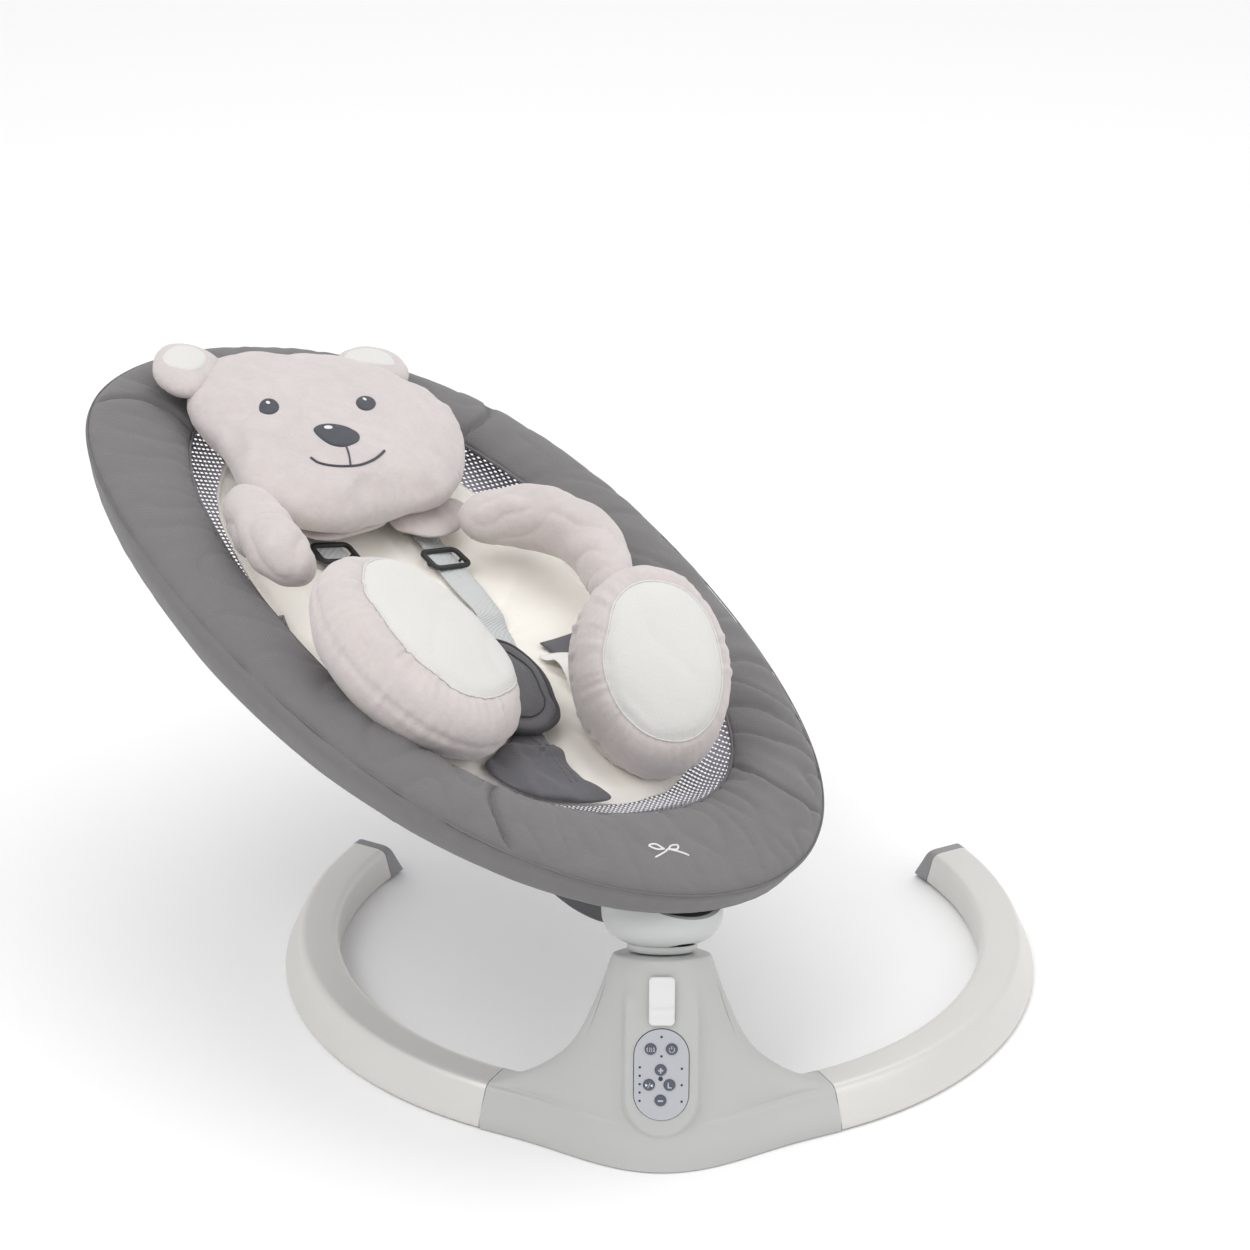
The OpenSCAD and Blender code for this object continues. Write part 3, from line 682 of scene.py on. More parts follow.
def ring_cover():
    steps, rings = 600, []
    for j in range(steps):
        t = j * 360 / steps
        o, v, u = across_ring(t)
        top, lip, hug, band = ring_section(t)
        line = resample(np.array(top), 34, False)
        under = resample(np.array([top[-1]] + lip + hug + band + [top[0]]), 40, False)[1:-1]
        arc = math.radians(t) * 320
        ring = []
        w = np.linalg.norm(v - o)
        for d, z in line:
            s = near_seam(t, d)
            k = d / w
            z -= 5.5 * bell(s, 3.2) * soft(d / 8) * soft((w - d) / 6 + 0.3)
            z += 1.8 * bell(s - 14, 12) * math.sin(math.pi * k)
            pucker = 0.9 * ripple(arc / 9, 3.1) * bell(w - d, 14)
            pucker += 0.55 * ripple(arc / 11, 8.7) * bell(d, 12)
            pucker += 1.5 * ripple(arc / 26, d / 90, 4.2) * math.sin(math.pi * k) * crumple(t)
            pucker += 1.7 * ripple(arc / 70, d / 60, 1.3) * math.sin(math.pi * k)
            pucker -= 1.6 * (1 - abs(ripple(arc / 38, d / 70 + 0.02 * arc / 9, 9.9))) ** 7 * crumple(t)
            ring.append((o[0] + u[0] * d, o[1] + u[1] * d, z + pucker))
        for d, z in under:
            outer = d < 18 and z > -25
            swell = 1.2 * ripple(arc / 60, z / 14, 2.2) + 0.5 * ripple(arc / 14, z / 20, 6.1)
            d -= swell * (1 if outer else 0) * soft((-z - 1) / 5)
            ring.append((o[0] + u[0] * d, o[1] + u[1] * d, z))
        rings.append(ring)
    obj = add_skin("ring_cover_fabric", rings, close_rows=True)
    dress(obj, "seat", "ring_fabric", stands_for=["ring_cover"])
    return obj


def crumple(t):
    """How much the cover is crumpled at that place: most at the right of the foot."""
    return (0.8 + 1.9 * bell(degrees_from(t, 120), 38)
            + 0.9 * bell(degrees_from(t, 230), 30))


def seam_threads():
    """Stitched piping over the outer seam and a binding round the inner edge."""
    rim = []
    for t in degrees_round(360):
        o, v, u = across_ring(t)
        rim.append((*(o - u * 0.4), 0.7))
    obj = tube_along("outer_seam", rim, 0.55, closed=True, sides=6)
    dress(obj, "seat", "ring_fabric", SEAM_THREAD)
    edge = []
    for t in degrees_round(360):
        o, v, u = across_ring(t)
        edge.append((*(v + u * 0.9), -0.2 + 0.4 * ripple(t / 3, 5)))
    obj = tube_along("inner_binding", edge, 1.5, closed=True, sides=8)
    dress(obj, "seat", "ring_fabric", SEAM_THREAD)


def cover_mark(tree):
    """Small plain sprig embroidered on the foot end of the cover."""
    leaves = [[(0, 0), (5, 4), (11, 4), (7, -1), (0, 0)], [(-3, 1), (-8, 6), (-14, 6), (-10, 1), (-3, 1)],
              [(-16, -7), (-4, -2), (0, 0), (9, -5), (14, -8)]]
    for n, leaf in enumerate(leaves):
        line = [drop(tree, SEAT, (-20 + x, -337 + y), 0.2) for x, y in smooth_line(leaf, 30)]
        dress(tube_along(f"cover_mark_{n}", line, 0.8, sides=6), "seat", "ring_fabric", WHITE_THREAD)


# ---------------------------------------------------------------- sling and liner
SLING_CENTRE = np.array((0, -40))


def sling_z(r):
    return -4 - 55 * (1 - min(1, r) ** 2.6)


def sling_share(x, y):
    """0 in the middle of the sling, 1 at the ring's inner edge."""
    p = np.array((x, y)) - SLING_CENTRE
    length = np.linalg.norm(p)
    if length < 1:
        return 0.0
    angle = math.degrees(math.atan2(x, y - 5)) % 360
    edge = inner(angle)
    for _ in range(3):
        q = edge - SLING_CENTRE
        cross = p[0] * q[1] - p[1] * q[0]
        angle += math.degrees(cross / (length * np.linalg.norm(q))) * -1 if abs(cross) > 1 else 0
        edge = inner(angle)
    return length / np.linalg.norm(edge - SLING_CENTRE)


NET_PITCH = 4.2


def mesh_sling():
    """Knitted net as real strands round square holes, offset from row to row."""
    xs = np.arange(-184, 185, NET_PITCH)
    ys = np.arange(-292, 320, NET_PITCH)
    verts, faces, area = [], [], 0.0
    number = {}

    def corner(i, j):
        if (i, j) not in number:
            x = xs[0] + i * NET_PITCH + 0.25 * ripple(i * 0.7, j * 0.7)
            y = ys[0] + j * NET_PITCH
            number[i, j] = len(verts)
            r = sling_share(x, y)
            verts.append((x, y, sling_z(r) + 5 * soft((r - 0.89) / 0.11) + 0.5 * ((i + j) % 2) - 0.2))
        return number[i, j]

    half_w, half_l = 0.27, 0.30
    for i in range(len(xs) - 1):
        for j in range(len(ys) - 1):
            cx, cy = xs[i] + NET_PITCH / 2, ys[j] + NET_PITCH / 2
            r = sling_share(cx, cy)
            if r > 1.012:
                continue
            ring = [corner(i, j), corner(i + 1, j), corner(i + 1, j + 1), corner(i, j + 1)]
            middle = np.mean([verts[k] for k in ring], axis=0)
            hole = []
            for sx, sy in ((-1, -1), (1, -1), (1, 1), (-1, 1)):
                hole.append(len(verts))
                verts.append((middle[0] + sx * half_w * NET_PITCH, middle[1] + sy * half_l * NET_PITCH,
                              middle[2]))
            for k in range(4):
                n = (k + 1) % 4
                faces.append((ring[k], ring[n], hole[n], hole[k]))
            area += NET_PITCH ** 2 * (1 - 4 * half_w * half_l)
    obj = add_mesh("mesh_sling_net", verts, faces)
    dress(obj, "seat", "mesh_fabric", stands_for=["mesh_sling"])


PAD_TOP = -14


def liner_height(x, y):
    """Top of the cream liner: a soft dish with folds that run out from the middle."""
    r = sling_share(x, y)
    z = PAD_TOP - 1.5 - 3.5 * (1 - r * r)
    a = math.atan2(y + 40, x)
    fold = 1 - abs(ripple(a * 4.2, r * 1.4, 7.7))
    z += 4.2 * (fold ** 4 - 0.35) * soft(r * 1.6) * soft((0.93 - r) * 6)
    z += 2.2 * ripple(x / 55, y / 55, 3.3)
    return z


def liner():
    def edge_at(t):
        return 0.885 - 0.075 * bell(degrees_from(t, 186), 46)

    rows = list(np.linspace(0.02, 0.93, 46)) + [0.95, 0.97, 0.985, 0.995, 1.0]
    rings = []
    for r in rows:
        ring = []
        for t in degrees_round(220):
            e = edge_at(t) * (1 + 0.012 * ripple(t / 9, 2.0))
            p = SLING_CENTRE + (inner(t) - SLING_CENTRE) * r * e
            roll = 7 * soft((r - 0.92) / 0.08) ** 2
            ring.append((p[0], p[1], max(liner_height(p[0], p[1]) - roll, sling_z(r * e) + 1)))
        rings.append(ring)
    for r in (0.985, 0.95, 0.88, 0.68, 0.34, 0.05):
        rings.append([(*(SLING_CENTRE + (inner(t) - SLING_CENTRE) * r * edge_at(t)),
                       sling_z(r * edge_at(t)) + 1.4) for t in degrees_round(220)])
    obj = add_skin("liner_plush", rings)
    dress(obj, "seat", "cream_plush", stands_for=["liner_body"])
    return obj


# ---------------------------------------------------------------- bear
HEAD_OUTLINE = [(-62, 328), (-8, 329), (45, 322), (80, 305), (106, 284), (120, 254), (119, 218),
                (104, 178), (80, 140), (46, 108), (12, 95), (-26, 87), (-68, 77), (-104, 80),
                (-132, 96), (-142, 132), (-137, 172), (-133, 206), (-136, 232), (-130, 262),
                (-108, 296), (-88, 318)]
EAR_LEFT = [(-70, 300), (-72, 320), (-82, 333), (-98, 337), (-118, 330), (-135, 311), (-143, 287),
            (-139, 268), (-124, 258), (-100, 270)]
EAR_RIGHT = [(40, 300), (44, 316), (57, 329), (79, 334), (100, 328), (111, 313), (108, 292),
             (96, 278), (66, 280)]
EAR_PATCH_LEFT = [(-95, 292), (-88, 309), (-97, 320), (-113, 318), (-127, 306), (-129, 291),
                  (-114, 281)]
EAR_PATCH_RIGHT = [(46, 303), (58, 318), (78, 319), (91, 309), (88, 293), (68, 294)]


def pillow(name, outline, low, high, count=96, flat=2.4, shrink=2.0):
    """Closed pillow inside an outline, between two heights, before it is blown up."""
    loop = smooth_loop(outline, count)
    centre = loop.mean(0)
    inward = centre - loop
    inward /= np.linalg.norm(inward, axis=1)[:, None]
    loop = loop + inward * shrink
    mid, half = (low + high) / 2, (high - low) / 2
    rings = []
    for a in np.linspace(-90, 90, 21)[1:-1]:
        k = math.cos(math.radians(a)) ** (2 / flat)
        z = mid + half * spow(math.sin(math.radians(a)), 2 / flat)
        rings.append([(*(centre + (q - centre) * k), z) for q in loop])
    return add_skin(name, rings)


def bolster(name, path, shrink):
    """Stuffed limb through [x, y, z, radius], its ends rounded."""
    line = smooth_line(path, 44)
    rings = []
    for j, (x, y, z, r) in enumerate(line):
        q = line[min(len(line) - 1, j + 1)] - line[max(0, j - 1)]
        t = q[:3] / np.linalg.norm(q[:3])
        side = np.cross(t, (0, 0, 1))
        side /= np.linalg.norm(side)
        up = np.cross(side, t)
        r = max(2.5, r - shrink)
        rings.append([(x, y, z) + r * (math.cos(a) * side + math.sin(a) * up)
                      for a in turns(28)])
    return add_skin(name, rings)


ARM_LEFT = [(-138, 126, 22, 4), (-142, 122, 23, 15), (-149, 108, 25, 22), (-155, 84, 28, 25.5),
            (-160, 56, 32, 27), (-161, 28, 34, 26), (-159, 8, 34, 21), (-157, -4, 34, 13),
            (-156, -9, 34, 4)]
ARM_RIGHT = [(40, 84, 16, 6), (48, 86, 18, 17), (66, 87, 21, 25), (92, 82, 24, 28),
             (116, 68, 28, 29), (128, 42, 30, 28), (128, 12, 30, 26.5), (119, -14, 30, 24),
             (108, -32, 30, 17), (102, -40, 30, 5)]


def foot_frame(centre, long_way, sole_way):
    n = Vector(sole_way).normalized()
    u = Vector(long_way)
    u = (u - n * u.dot(n)).normalized()
    m = Matrix((u, n.cross(u), n)).transposed().to_4x4()
    m.translation = centre
    return m


FEET = {
    "left": dict(centre=(-124, -116, 35), axes=(98, 76, 48), long=(-0.37, 0.89, 0.26),
                 sole=(0.19, -0.20, 0.96),
                 patch=[(71, 9), (74, -20), (62, -38), (40, -53), (22, -61), (-2, -63), (-28, -60),
                        (-54, -50), (-67, -25), (-68, 10), (-54, 33), (-41, 39), (-23, 47),
                        (5, 49), (28, 43), (50, 35)]),
    "right": dict(centre=(57, -167, 45), axes=(85, 62, 81), long=(0.01, 0.71, 0.70),
                  sole=(-0.44, -0.63, 0.64),
                  patch=[(28, 36), (50, 27), (62, 11), (62, -9), (51, -30), (28, -43), (1, -47),
                         (-25, -44), (-47, -33), (-59, -14), (-57, 7), (-47, 23), (-28, 36),
                         (-5, 42), (14, 41)]),
}


def foot_pillow(side):
    f = FEET[side]
    place = foot_frame(f["centre"], f["long"], f["sole"])
    a, b, c = f["axes"]
    rings = []
    for k in np.linspace(-88, 88, 31):
        s, r = math.sin(math.radians(k)), math.cos(math.radians(k))
        n = s if s < 0.62 else 0.62 + (s - 0.62) * 0.42
        grow = 1.0 if s < 0 else 1 + 0.03 * soft(s * 2)
        ring = []
        for t in turns(64):
            p = place @ Vector((a * 0.975 * r * grow * math.cos(t),
                                b * 0.975 * r * grow * math.sin(t), c * n))
            ring.append((p.x, p.y, max(p.z, PAD_TOP - 4)))
        rings.append(ring)
    obj = add_skin("foot_" + side, rings)
    return obj, place


def plush_wrinkles(obj, place, size, amount):
    def how(p, n):
        a = ripple(p.x / size, p.y / size, p.z / size)
        b = 1 - abs(ripple(p.x / size / 1.7 + 9, p.y / size / 1.7, p.z / size / 1.7))
        return amount * (0.6 * a - 0.5 * b ** 6)
    displace(obj, how, place)


def bear():
    head = pillow("bear_head_plush", HEAD_OUTLINE, -2, 47)
    ear_left = pillow("bear_ear_left", EAR_LEFT, 20, 42, 48)
    ear_right = pillow("bear_ear_right", EAR_RIGHT, 16, 38, 48)
    arm_left = bolster("bear_arm_left", ARM_LEFT, 2.5)
    arm_right = bolster("bear_arm_right", ARM_RIGHT, 2.5)
    foot_l, place_l = foot_pillow("left")
    foot_r, place_r = foot_pillow("right")
    blow_up([(head, 5, 6), (ear_left, 4, 3), (ear_right, 4, 3), (arm_left, 4, 4), (arm_right, 4, 4),
             (foot_l, 5, 5), (foot_r, 5, 5)])
    loop = smooth_loop(HEAD_OUTLINE, 200)

    def head_edge(p):
        return np.min(np.hypot(loop[:, 0] - p.x, loop[:, 1] - p.y))

    def head_wrinkles(p, n):
        e = head_edge(p)
        a = math.atan2(p.y - 200, p.x + 10)
        pucker = 1.1 * ripple(a * 19, 2.0) * bell(e - 6, 12) * soft(n.z * 2 + 0.6)
        broad = 1.6 * ripple(p.x / 60, p.y / 60, 5) + 1.0 * ripple(p.x / 26, p.y / 34, 8)
        dent = -3.0 * bell(p.y - 330, 16) * bell(p.x + 8, 60)
        return pucker + (broad + dent) * max(0, n.z)

    displace(head, head_wrinkles)
    for side, obj, place in (("left", foot_l, place_l), ("right", foot_r, place_r)):
        c = FEET[side]["axes"][2]
        rim = smooth_loop(FEET[side]["patch"], 160)

        def foot_wrinkles(p, n, rim=rim, c=c, side=side):
            gaps = np.hypot(rim[:, 0] - p.x, rim[:, 1] - p.y)
            e = np.min(gaps)
            angle = math.atan2(p.y, p.x)
            up = soft(p.z / c * 3)
            groove = -1.5 * bell(e, 3.0) * up
            inside = np.hypot(p.x, p.y) < np.hypot(*rim[np.argmin(gaps)])
            pucker = (0 if inside else 2.8) * ripple(angle * 10, 4.0) * bell(e - 5, 12) * up
            level = 0.02 * c
            gusset = -1.8 * bell(p.z - level, 3.0)
            tuck = 2.8 * ripple(angle * 12, 9.0, side == "left") * bell(p.z - level, 12)
            return groove + pucker + gusset + tuck

        displace(obj, foot_wrinkles, SEAT @ place)
    for obj in (arm_left, arm_right):
        plush_wrinkles(obj, SEAT, 22, 4.2)
    for obj in (foot_l, foot_r):
        plush_wrinkles(obj, SEAT, 38, 2.6)
    for obj in (ear_left, ear_right):
        plush_wrinkles(obj, SEAT, 20, 0.9)
    for obj, node, fill in ((head, "bear_head", 0.5), (ear_left, "ear_left", 0.4),
                            (ear_right, "ear_right", 0.4), (arm_left, "arm_left", 0.75),
                            (arm_right, "arm_right", 0.75), (foot_l, "leg_left", 0.85),
                            (foot_r, "leg_right", 0.85)):
        dress(obj, "seat", "bear_plush", stands_for=[node])
    face_details(surface_of(head))
    for name, outline, ear in (("ear_patch_left", EAR_PATCH_LEFT, ear_left),
                               ("ear_patch_right", EAR_PATCH_RIGHT, ear_right)):
        dress(applique(name, outline, surface_of(ear), SEAT, 1.2, 8), "seat", "cream_plush", SOLE)
    for side, obj, place in (("left", foot_l, place_l), ("right", foot_r, place_r)):
        local = SEAT @ place
        tree = surface_of(obj)
        sole = applique("sole_" + side, FEET[side]["patch"], tree, local, 2.2, 20, count=110, edge=9)
        dress(sole, "seat", "cream_plush", SOLE)
        rim = [drop(tree, local, q, 0.7) for q in smooth_loop(FEET[side]["patch"], 150)]
        dress(tube_along("sole_edge_" + side, rim, 0.8, local, closed=True, sides=6), "seat",
              "cream_plush", SOLE)
    return head


# centre, then the two half axes
EYES = {"left": ((-80.8, 211), (7.6, -2.4), (5.0, 10.6)),
        "right": ((8.6, 209.5), (9.4, -0.4), (5.6, 10.8))}
NOSE = [(-60, 174), (-52, 179), (-40, 179.5), (-28, 175), (-22.5, 165), (-29, 154.5),
        (-44, 148.5), (-55, 152), (-60, 163)]
MOUTH = [(-81, 138), (-77.7, 131.5), (-69, 127), (-57, 124.5), (-43, 125), (-28, 131),
         (-18, 137), (-10, 143)]
MOUTH_STEM = [(-43, 149), (-46, 138), (-51, 125.5)]


def oval(x, y, half_w, half_h, count=10):
    return [(x + half_w * math.cos(a), y + half_h * math.sin(a)) for a in turns(count)]


def face_details(tree):
    def sew(name, outline, height, rings, count, edge, slot, material):
        patch = applique(name, outline, tree, SEAT, height, rings, count=count, edge=edge)
        dress(patch, "seat", slot, material)

    for side, ((x, y), wide, tall) in EYES.items():
        eye = [(x + wide[0] * math.cos(a) + tall[0] * math.sin(a),
                y + wide[1] * math.cos(a) + tall[1] * math.sin(a)) for a in turns(14)]
        sew("eye_" + side, eye, 1.0, 6, 40, 1.5, "bear_plush", EMBROIDERY)
        sew("eye_light_" + side, oval(x + 1, y + 4.6, 2.0, 2.4), 1.6, 3, 20, 0.8,
            "cream_plush", WHITE_THREAD)
    sew("nose", NOSE, 1.3, 10, 60, 1.5, "bear_plush", EMBROIDERY)
    sew("nose_light", oval(-47, 173.5, 4.6, 2.6), 1.9, 3, 20, 0.8, "cream_plush", WHITE_THREAD)
    for name, line in (("mouth", MOUTH), ("mouth_stem", MOUTH_STEM)):
        pts = [drop(tree, SEAT, q, 0.25) for q in smooth_line(line, 40)]
        thin = 1.15 if name == "mouth" else 0.8
        dress(tube_along(name, pts, thin, sides=8), "seat", "bear_plush", EMBROIDERY)


COLLARS = {
    "left": [(-92, 100), (-72, 93), (-40, 101), (-12, 111), (-2, 122), (-8, 136), (-60, 128), (-98, 118)],
    "right": [(-4, 108), (8, 99), (22, 93), (44, 96), (66, 112), (80, 140), (40, 150), (2, 134)],
}


def collar():
    """Two overlapping flaps of plush under the chin."""
    for n, (side, outline) in enumerate(COLLARS.items()):
        obj = pillow("collar_" + side, outline, -5 - n * 2, 6 + n, 60, 2.0, 0.5)
        subdivide(obj)
        displace(obj, lambda p, m: 1.3 * ripple(p.x / 9, p.y / 26, 4) * max(0, m.z))
        dress(obj, "seat", "bear_plush", stands_for=["collar_flap"] if n == 0 else ())


# ---------------------------------------------------------------- harness
def on_liner(x, y, lift):
    return (x, y, liner_height(x, y) + lift)


STRAP_W, STRAP_T = 25, 1.5


def under_glide(node, line):
    """Strap lifted to lie just under its adjuster, over the whole length that the adjuster slides."""
    y = GLIDES[node][0][1]
    level = glide_height(node) - 2.9
    return [(x, v, mix(z, level, soft((v - y + 88) / 14) * soft((y + 34 - v) / 12))) for x, v, z in line]


def harness():
    right = smooth_line([(36, 128), (34, 110), (32, 92), (30.4, 76), (30, 52), (30, 24),
                         (29.6, 4), (26, -20), (18, -44)], 60)
    line = under_glide("strap_slider", [on_liner(x, y, 1.4) for x, y in right])
    ups = [(0.10 * math.sin(k / 6), 0.05, 1) for k in range(60)]
    tri_glide("strap_slider")
    tri_glide("strap_slider_left")
    dress(ribbon("shoulder_strap_right", line, STRAP_W, STRAP_T, ups), "seat", "webbing",
          stands_for=["chest_strap_right"])
    left = smooth_line([(-66, 128), (-66, 104), (-66, 80), (-66, 52), (-65.6, 26), (-60, 2),
                        (-44, -22), (-18, -44)], 48)
    line = under_glide("strap_slider_left", [on_liner(x, y, 1.2) for x, y in left])
    dress(ribbon("shoulder_strap_left", line, STRAP_W, STRAP_T), "seat", "webbing",
          stands_for=["chest_strap_left"])
    waist = smooth_line([(60, -48), (80, -42), (104, -34), (124, -20), (140, -2)], 24)
    line = [on_liner(x, y, 2) for x, y in waist]
    dress(ribbon("waist_strap_webbing", line, STRAP_W, STRAP_T), "seat", "dark_fabric",
          stands_for=["waist_strap"])


GLIDES = {"strap_slider": ((30, 76), 6), "strap_slider_left": ((-66, 90), 0)}


def glide_height(node):
    low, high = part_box(node)
    return (SEAT.inverted() @ ((low + high) / 2)).z + 0.6


def tri_glide(node):
    """Black adjuster: a rounded frame with a bar that dips under the strap."""
    (x, y), turn = GLIDES[node]
    z = glide_height(node)
    place = SEAT @ Matrix.Translation((x, y, z)) @ Matrix.Rotation(math.radians(turn), 4, "Z")
    frame_loop = resample(np.array(rounded_outline(34, 23, 5)), 72, True)
    rings = []
    for i, q in enumerate(frame_loop):
        t = frame_loop[(i + 1) % 72] - frame_loop[i - 1]
        out = np.array((t[1], -t[0])) / np.linalg.norm(t)
        ring = []
        for a in turns(16):
            w, h = 2.1 * spow(math.cos(a), 0.6), 1.7 * spow(math.sin(a), 0.6)
            ring.append((q[0] + out[0] * w, q[1] + out[1] * w, h))
        rings.append(ring)
    obj = add_skin(node.replace("strap_slider", "tri_glide"), rings, place, close_rows=True)
    dip = [(-17, 0, 0), (-16.2, 0, -3.4), (-13.5, 0, -5), (0, 0, -5.1), (13.5, 0, -5),
           (16.2, 0, -3.4), (17, 0, 0)]
    bar = tube_along("bar", smooth_line(dip, 24), 1.2, place, sides=12)
    dress(join([obj, bar]), node, "dark_plastic", stands_for=[node])


CROTCH = [(-44, -40), (-20, -43), (6, -53), (15, -68), (18, -87), (15, -106), (8, -128), (4, -142),
          (-4, -154), (-18, -164), (-33, -168), (-50, -162), (-62, -140), (-64, -100), (-58, -62)]
FOOT_CLOTH = [(-34, -150), (-19, -156), (-20, -172), (-20, -191), (-16, -212), (-10, -230), (-3, -243),
              (-29, -245), (-50, -239), (-67, -232), (-84, -214), (-88, -190), (-60, -174)]


def crotch_parts():
    """Cupped crotch pad with a bound edge, and the folded cloth below it."""
    def cup(p, n):
        e = np.min(np.hypot(rim[:, 0] - p.x, rim[:, 1] - p.y))
        return -4.0 * bell(e - 13, 5) * max(0, n.z) + 0.8 * ripple(p.x / 22, p.y / 22, 2)

    def folds(p, n):
        return (4.5 * bell(p.y + 197 + 0.25 * p.x, 5) + 3.0 * ripple(p.x / 18, p.y / 34, 6)
                + 1.5 * ripple(p.x / 9, p.y / 14, 1)) * max(0, n.z)

    rim = smooth_loop(CROTCH, 140)
    pad = pillow("crotch_pad_cloth", CROTCH, -14, 6, 90, 2.6, 1)
    subdivide(pad)
    displace(pad, cup)
    dress(pad, "seat", "dark_fabric", stands_for=["crotch_pad"])
    edge = [(x, y, -2 + 1.5 * ripple(x / 40, y / 40)) for x, y in rim]
    dress(tube_along("crotch_binding", edge, 2.4, closed=True, sides=8), "seat", "dark_fabric",
          BLACK_BINDING)
    inner_line = [drop(surface_of(pad), SEAT, rim.mean(0) + (q - rim.mean(0)) * 0.76, 0.2) for q in rim]
    dress(tube_along("crotch_stitch", inner_line, 0.7, closed=True, sides=6), "seat", "dark_fabric",
          BLACK_BINDING)
    cloth = pillow("foot_cloth", FOOT_CLOTH, -18, -6, 90, 2.6, 0.5)
    subdivide(cloth)
    displace(cloth, folds)
    dress(cloth, "seat", "dark_fabric", stands_for=["foot_panel"])
    tree = surface_of(cloth)
    for n, x in enumerate((-34, -29)):
        for k in range(9):
            y = -164 - k * 7
            stitch = [drop(tree, SEAT, (x + 0.4 * k, y - d), 0.25) for d in np.linspace(0, 4.4, 6)]
            dress(tube_along(f"foot_stitch_{n}_{k}", stitch, 0.45, sides=6), "seat", "webbing",
                  SEAM_THREAD)


def tag():
    rows = []
    for k in np.linspace(0, 1, 24):
        y = mix(-52, -104, k)
        z = liner_height(64, y) + 1.5 + 8 * math.sin(k * math.pi) ** 2
        rows.append([(46 + 36 * s, y, z + 2.2 * math.sin(s * 3 + k * 2)) for s in np.linspace(0, 1, 12)])
    rings = [r + [(x, y, z - 0.5) for x, y, z in reversed(r)] for r in rows]
    dress(add_skin("sewn_tag", rings), "seat", "tag_fabric", stands_for=["warning_tag"])


cover_mark(surface_of(ring_cover()))
seam_threads()
mesh_sling()
liner()
bear()
collar()
harness()
crotch_parts()
tag()


# ---------------------------------------------------------------- base ring
RING_R, LEG_W, JOINT_DEG, END_DEG, PAD_H, LEG_TOP = 295, 40.6, 27, 119.4, 1, 33
RING_IN, RING_C = RING_R - LEG_W, RING_R - LEG_W / 2
SEAM_SLANT, END_SLANT = 18.5, 33
TUBE_PROFILE = [(RING_IN + 3, 1), (RING_R + 2, 1), (RING_R + 2.5, 5), (RING_R - 7, 26.5),
                (RING_R - 9.2, 30.6), (RING_R - 13, 33), (RING_IN + 5, 33), (RING_IN + 1.5, 31.4),
                (RING_IN, 28), (RING_IN, 4)]


def rounded_profile(points, radius, steps=4):
    """Profile with each corner replaced by a small curve."""
    p = np.array(points, float)
    out = []
    for i in range(len(p)):
        a, b, c = p[i - 1], p[i], p[(i + 1) % len(p)]
        ra = min(radius, np.linalg.norm(a - b) * 0.45)
        rc = min(radius, np.linalg.norm(c - b) * 0.45)
        s = b + (a - b) / np.linalg.norm(a - b) * ra
        e = b + (c - b) / np.linalg.norm(c - b) * rc
        for t in np.linspace(0, 1, steps):
            out.append((1 - t) ** 2 * s + 2 * t * (1 - t) * b + t * t * e)
    return out


def ring_sweep(name, profile, a0, a1, side, steps):
    rings = []
    for a in np.linspace(a0, a1, steps):
        r = math.radians(a)
        rings.append([(side * math.sin(r) * q[0], -math.cos(r) * q[0], q[1]) for q in profile])
    return add_skin(name, rings, WORLD, sharp=40)


def slice_off(obj, y, slant, side, keep_before):
    """Cuts the tube's end with a slanting plane across it, and closes it."""
    a = math.radians(END_DEG - 90)
    s = math.radians(slant)
    normal = Vector((-math.sin(a) * math.cos(s), math.cos(a) * math.cos(s), math.sin(s)))
    point = Vector((math.cos(a) * RING_IN - math.sin(a) * y,
                    math.sin(a) * RING_IN + math.cos(a) * y, PAD_H))
    if side < 0:
        normal.x, point.x = -normal.x, -point.x
    b = bmesh.new()
    b.from_mesh(obj.data)
    cut_edges = bmesh.ops.bisect_plane(
        b, geom=b.verts[:] + b.edges[:] + b.faces[:], plane_co=point * MM, plane_no=normal,
        clear_outer=keep_before, clear_inner=not keep_before)
    edges = [e for e in cut_edges["geom_cut"] if isinstance(e, bmesh.types.BMEdge)]
    bmesh.ops.holes_fill(b, edges=edges, sides=0)
    bmesh.ops.recalc_face_normals(b, faces=b.faces)
    b.to_mesh(obj.data)
    b.free()


def base_ring():
    tube = rounded_profile(TUBE_PROFILE, 2.4)
    for side, word in ((-1, "left"), (1, "right")):
        leg = ring_sweep("tube_" + word, tube, JOINT_DEG + 0.12, END_DEG + 6, side, 90)
        slice_off(leg, 3.8, SEAM_SLANT, side, True)
        shade_smooth(leg.data, 28)
        dress(leg, "base", "tube_paint", stands_for=["leg_tube_" + word])
        cap = ring_sweep("cap_" + word, rounded_profile(TUBE_PROFILE, 1.4, 3),
                         END_DEG - 4, END_DEG + 8, side, 14)
        slice_off(cap, 4.3, SEAM_SLANT, side, False)
        slice_off(cap, 22, END_SLANT, side, True)
        round_edges(cap, 1.6, 32)
        dress(cap, "base", "cap_plastic", stands_for=["end_cap_" + word])


# ---------------------------------------------------------------- pedestal
END_X = RING_C * math.sin(math.radians(JOINT_DEG))
HUB_Y = 243
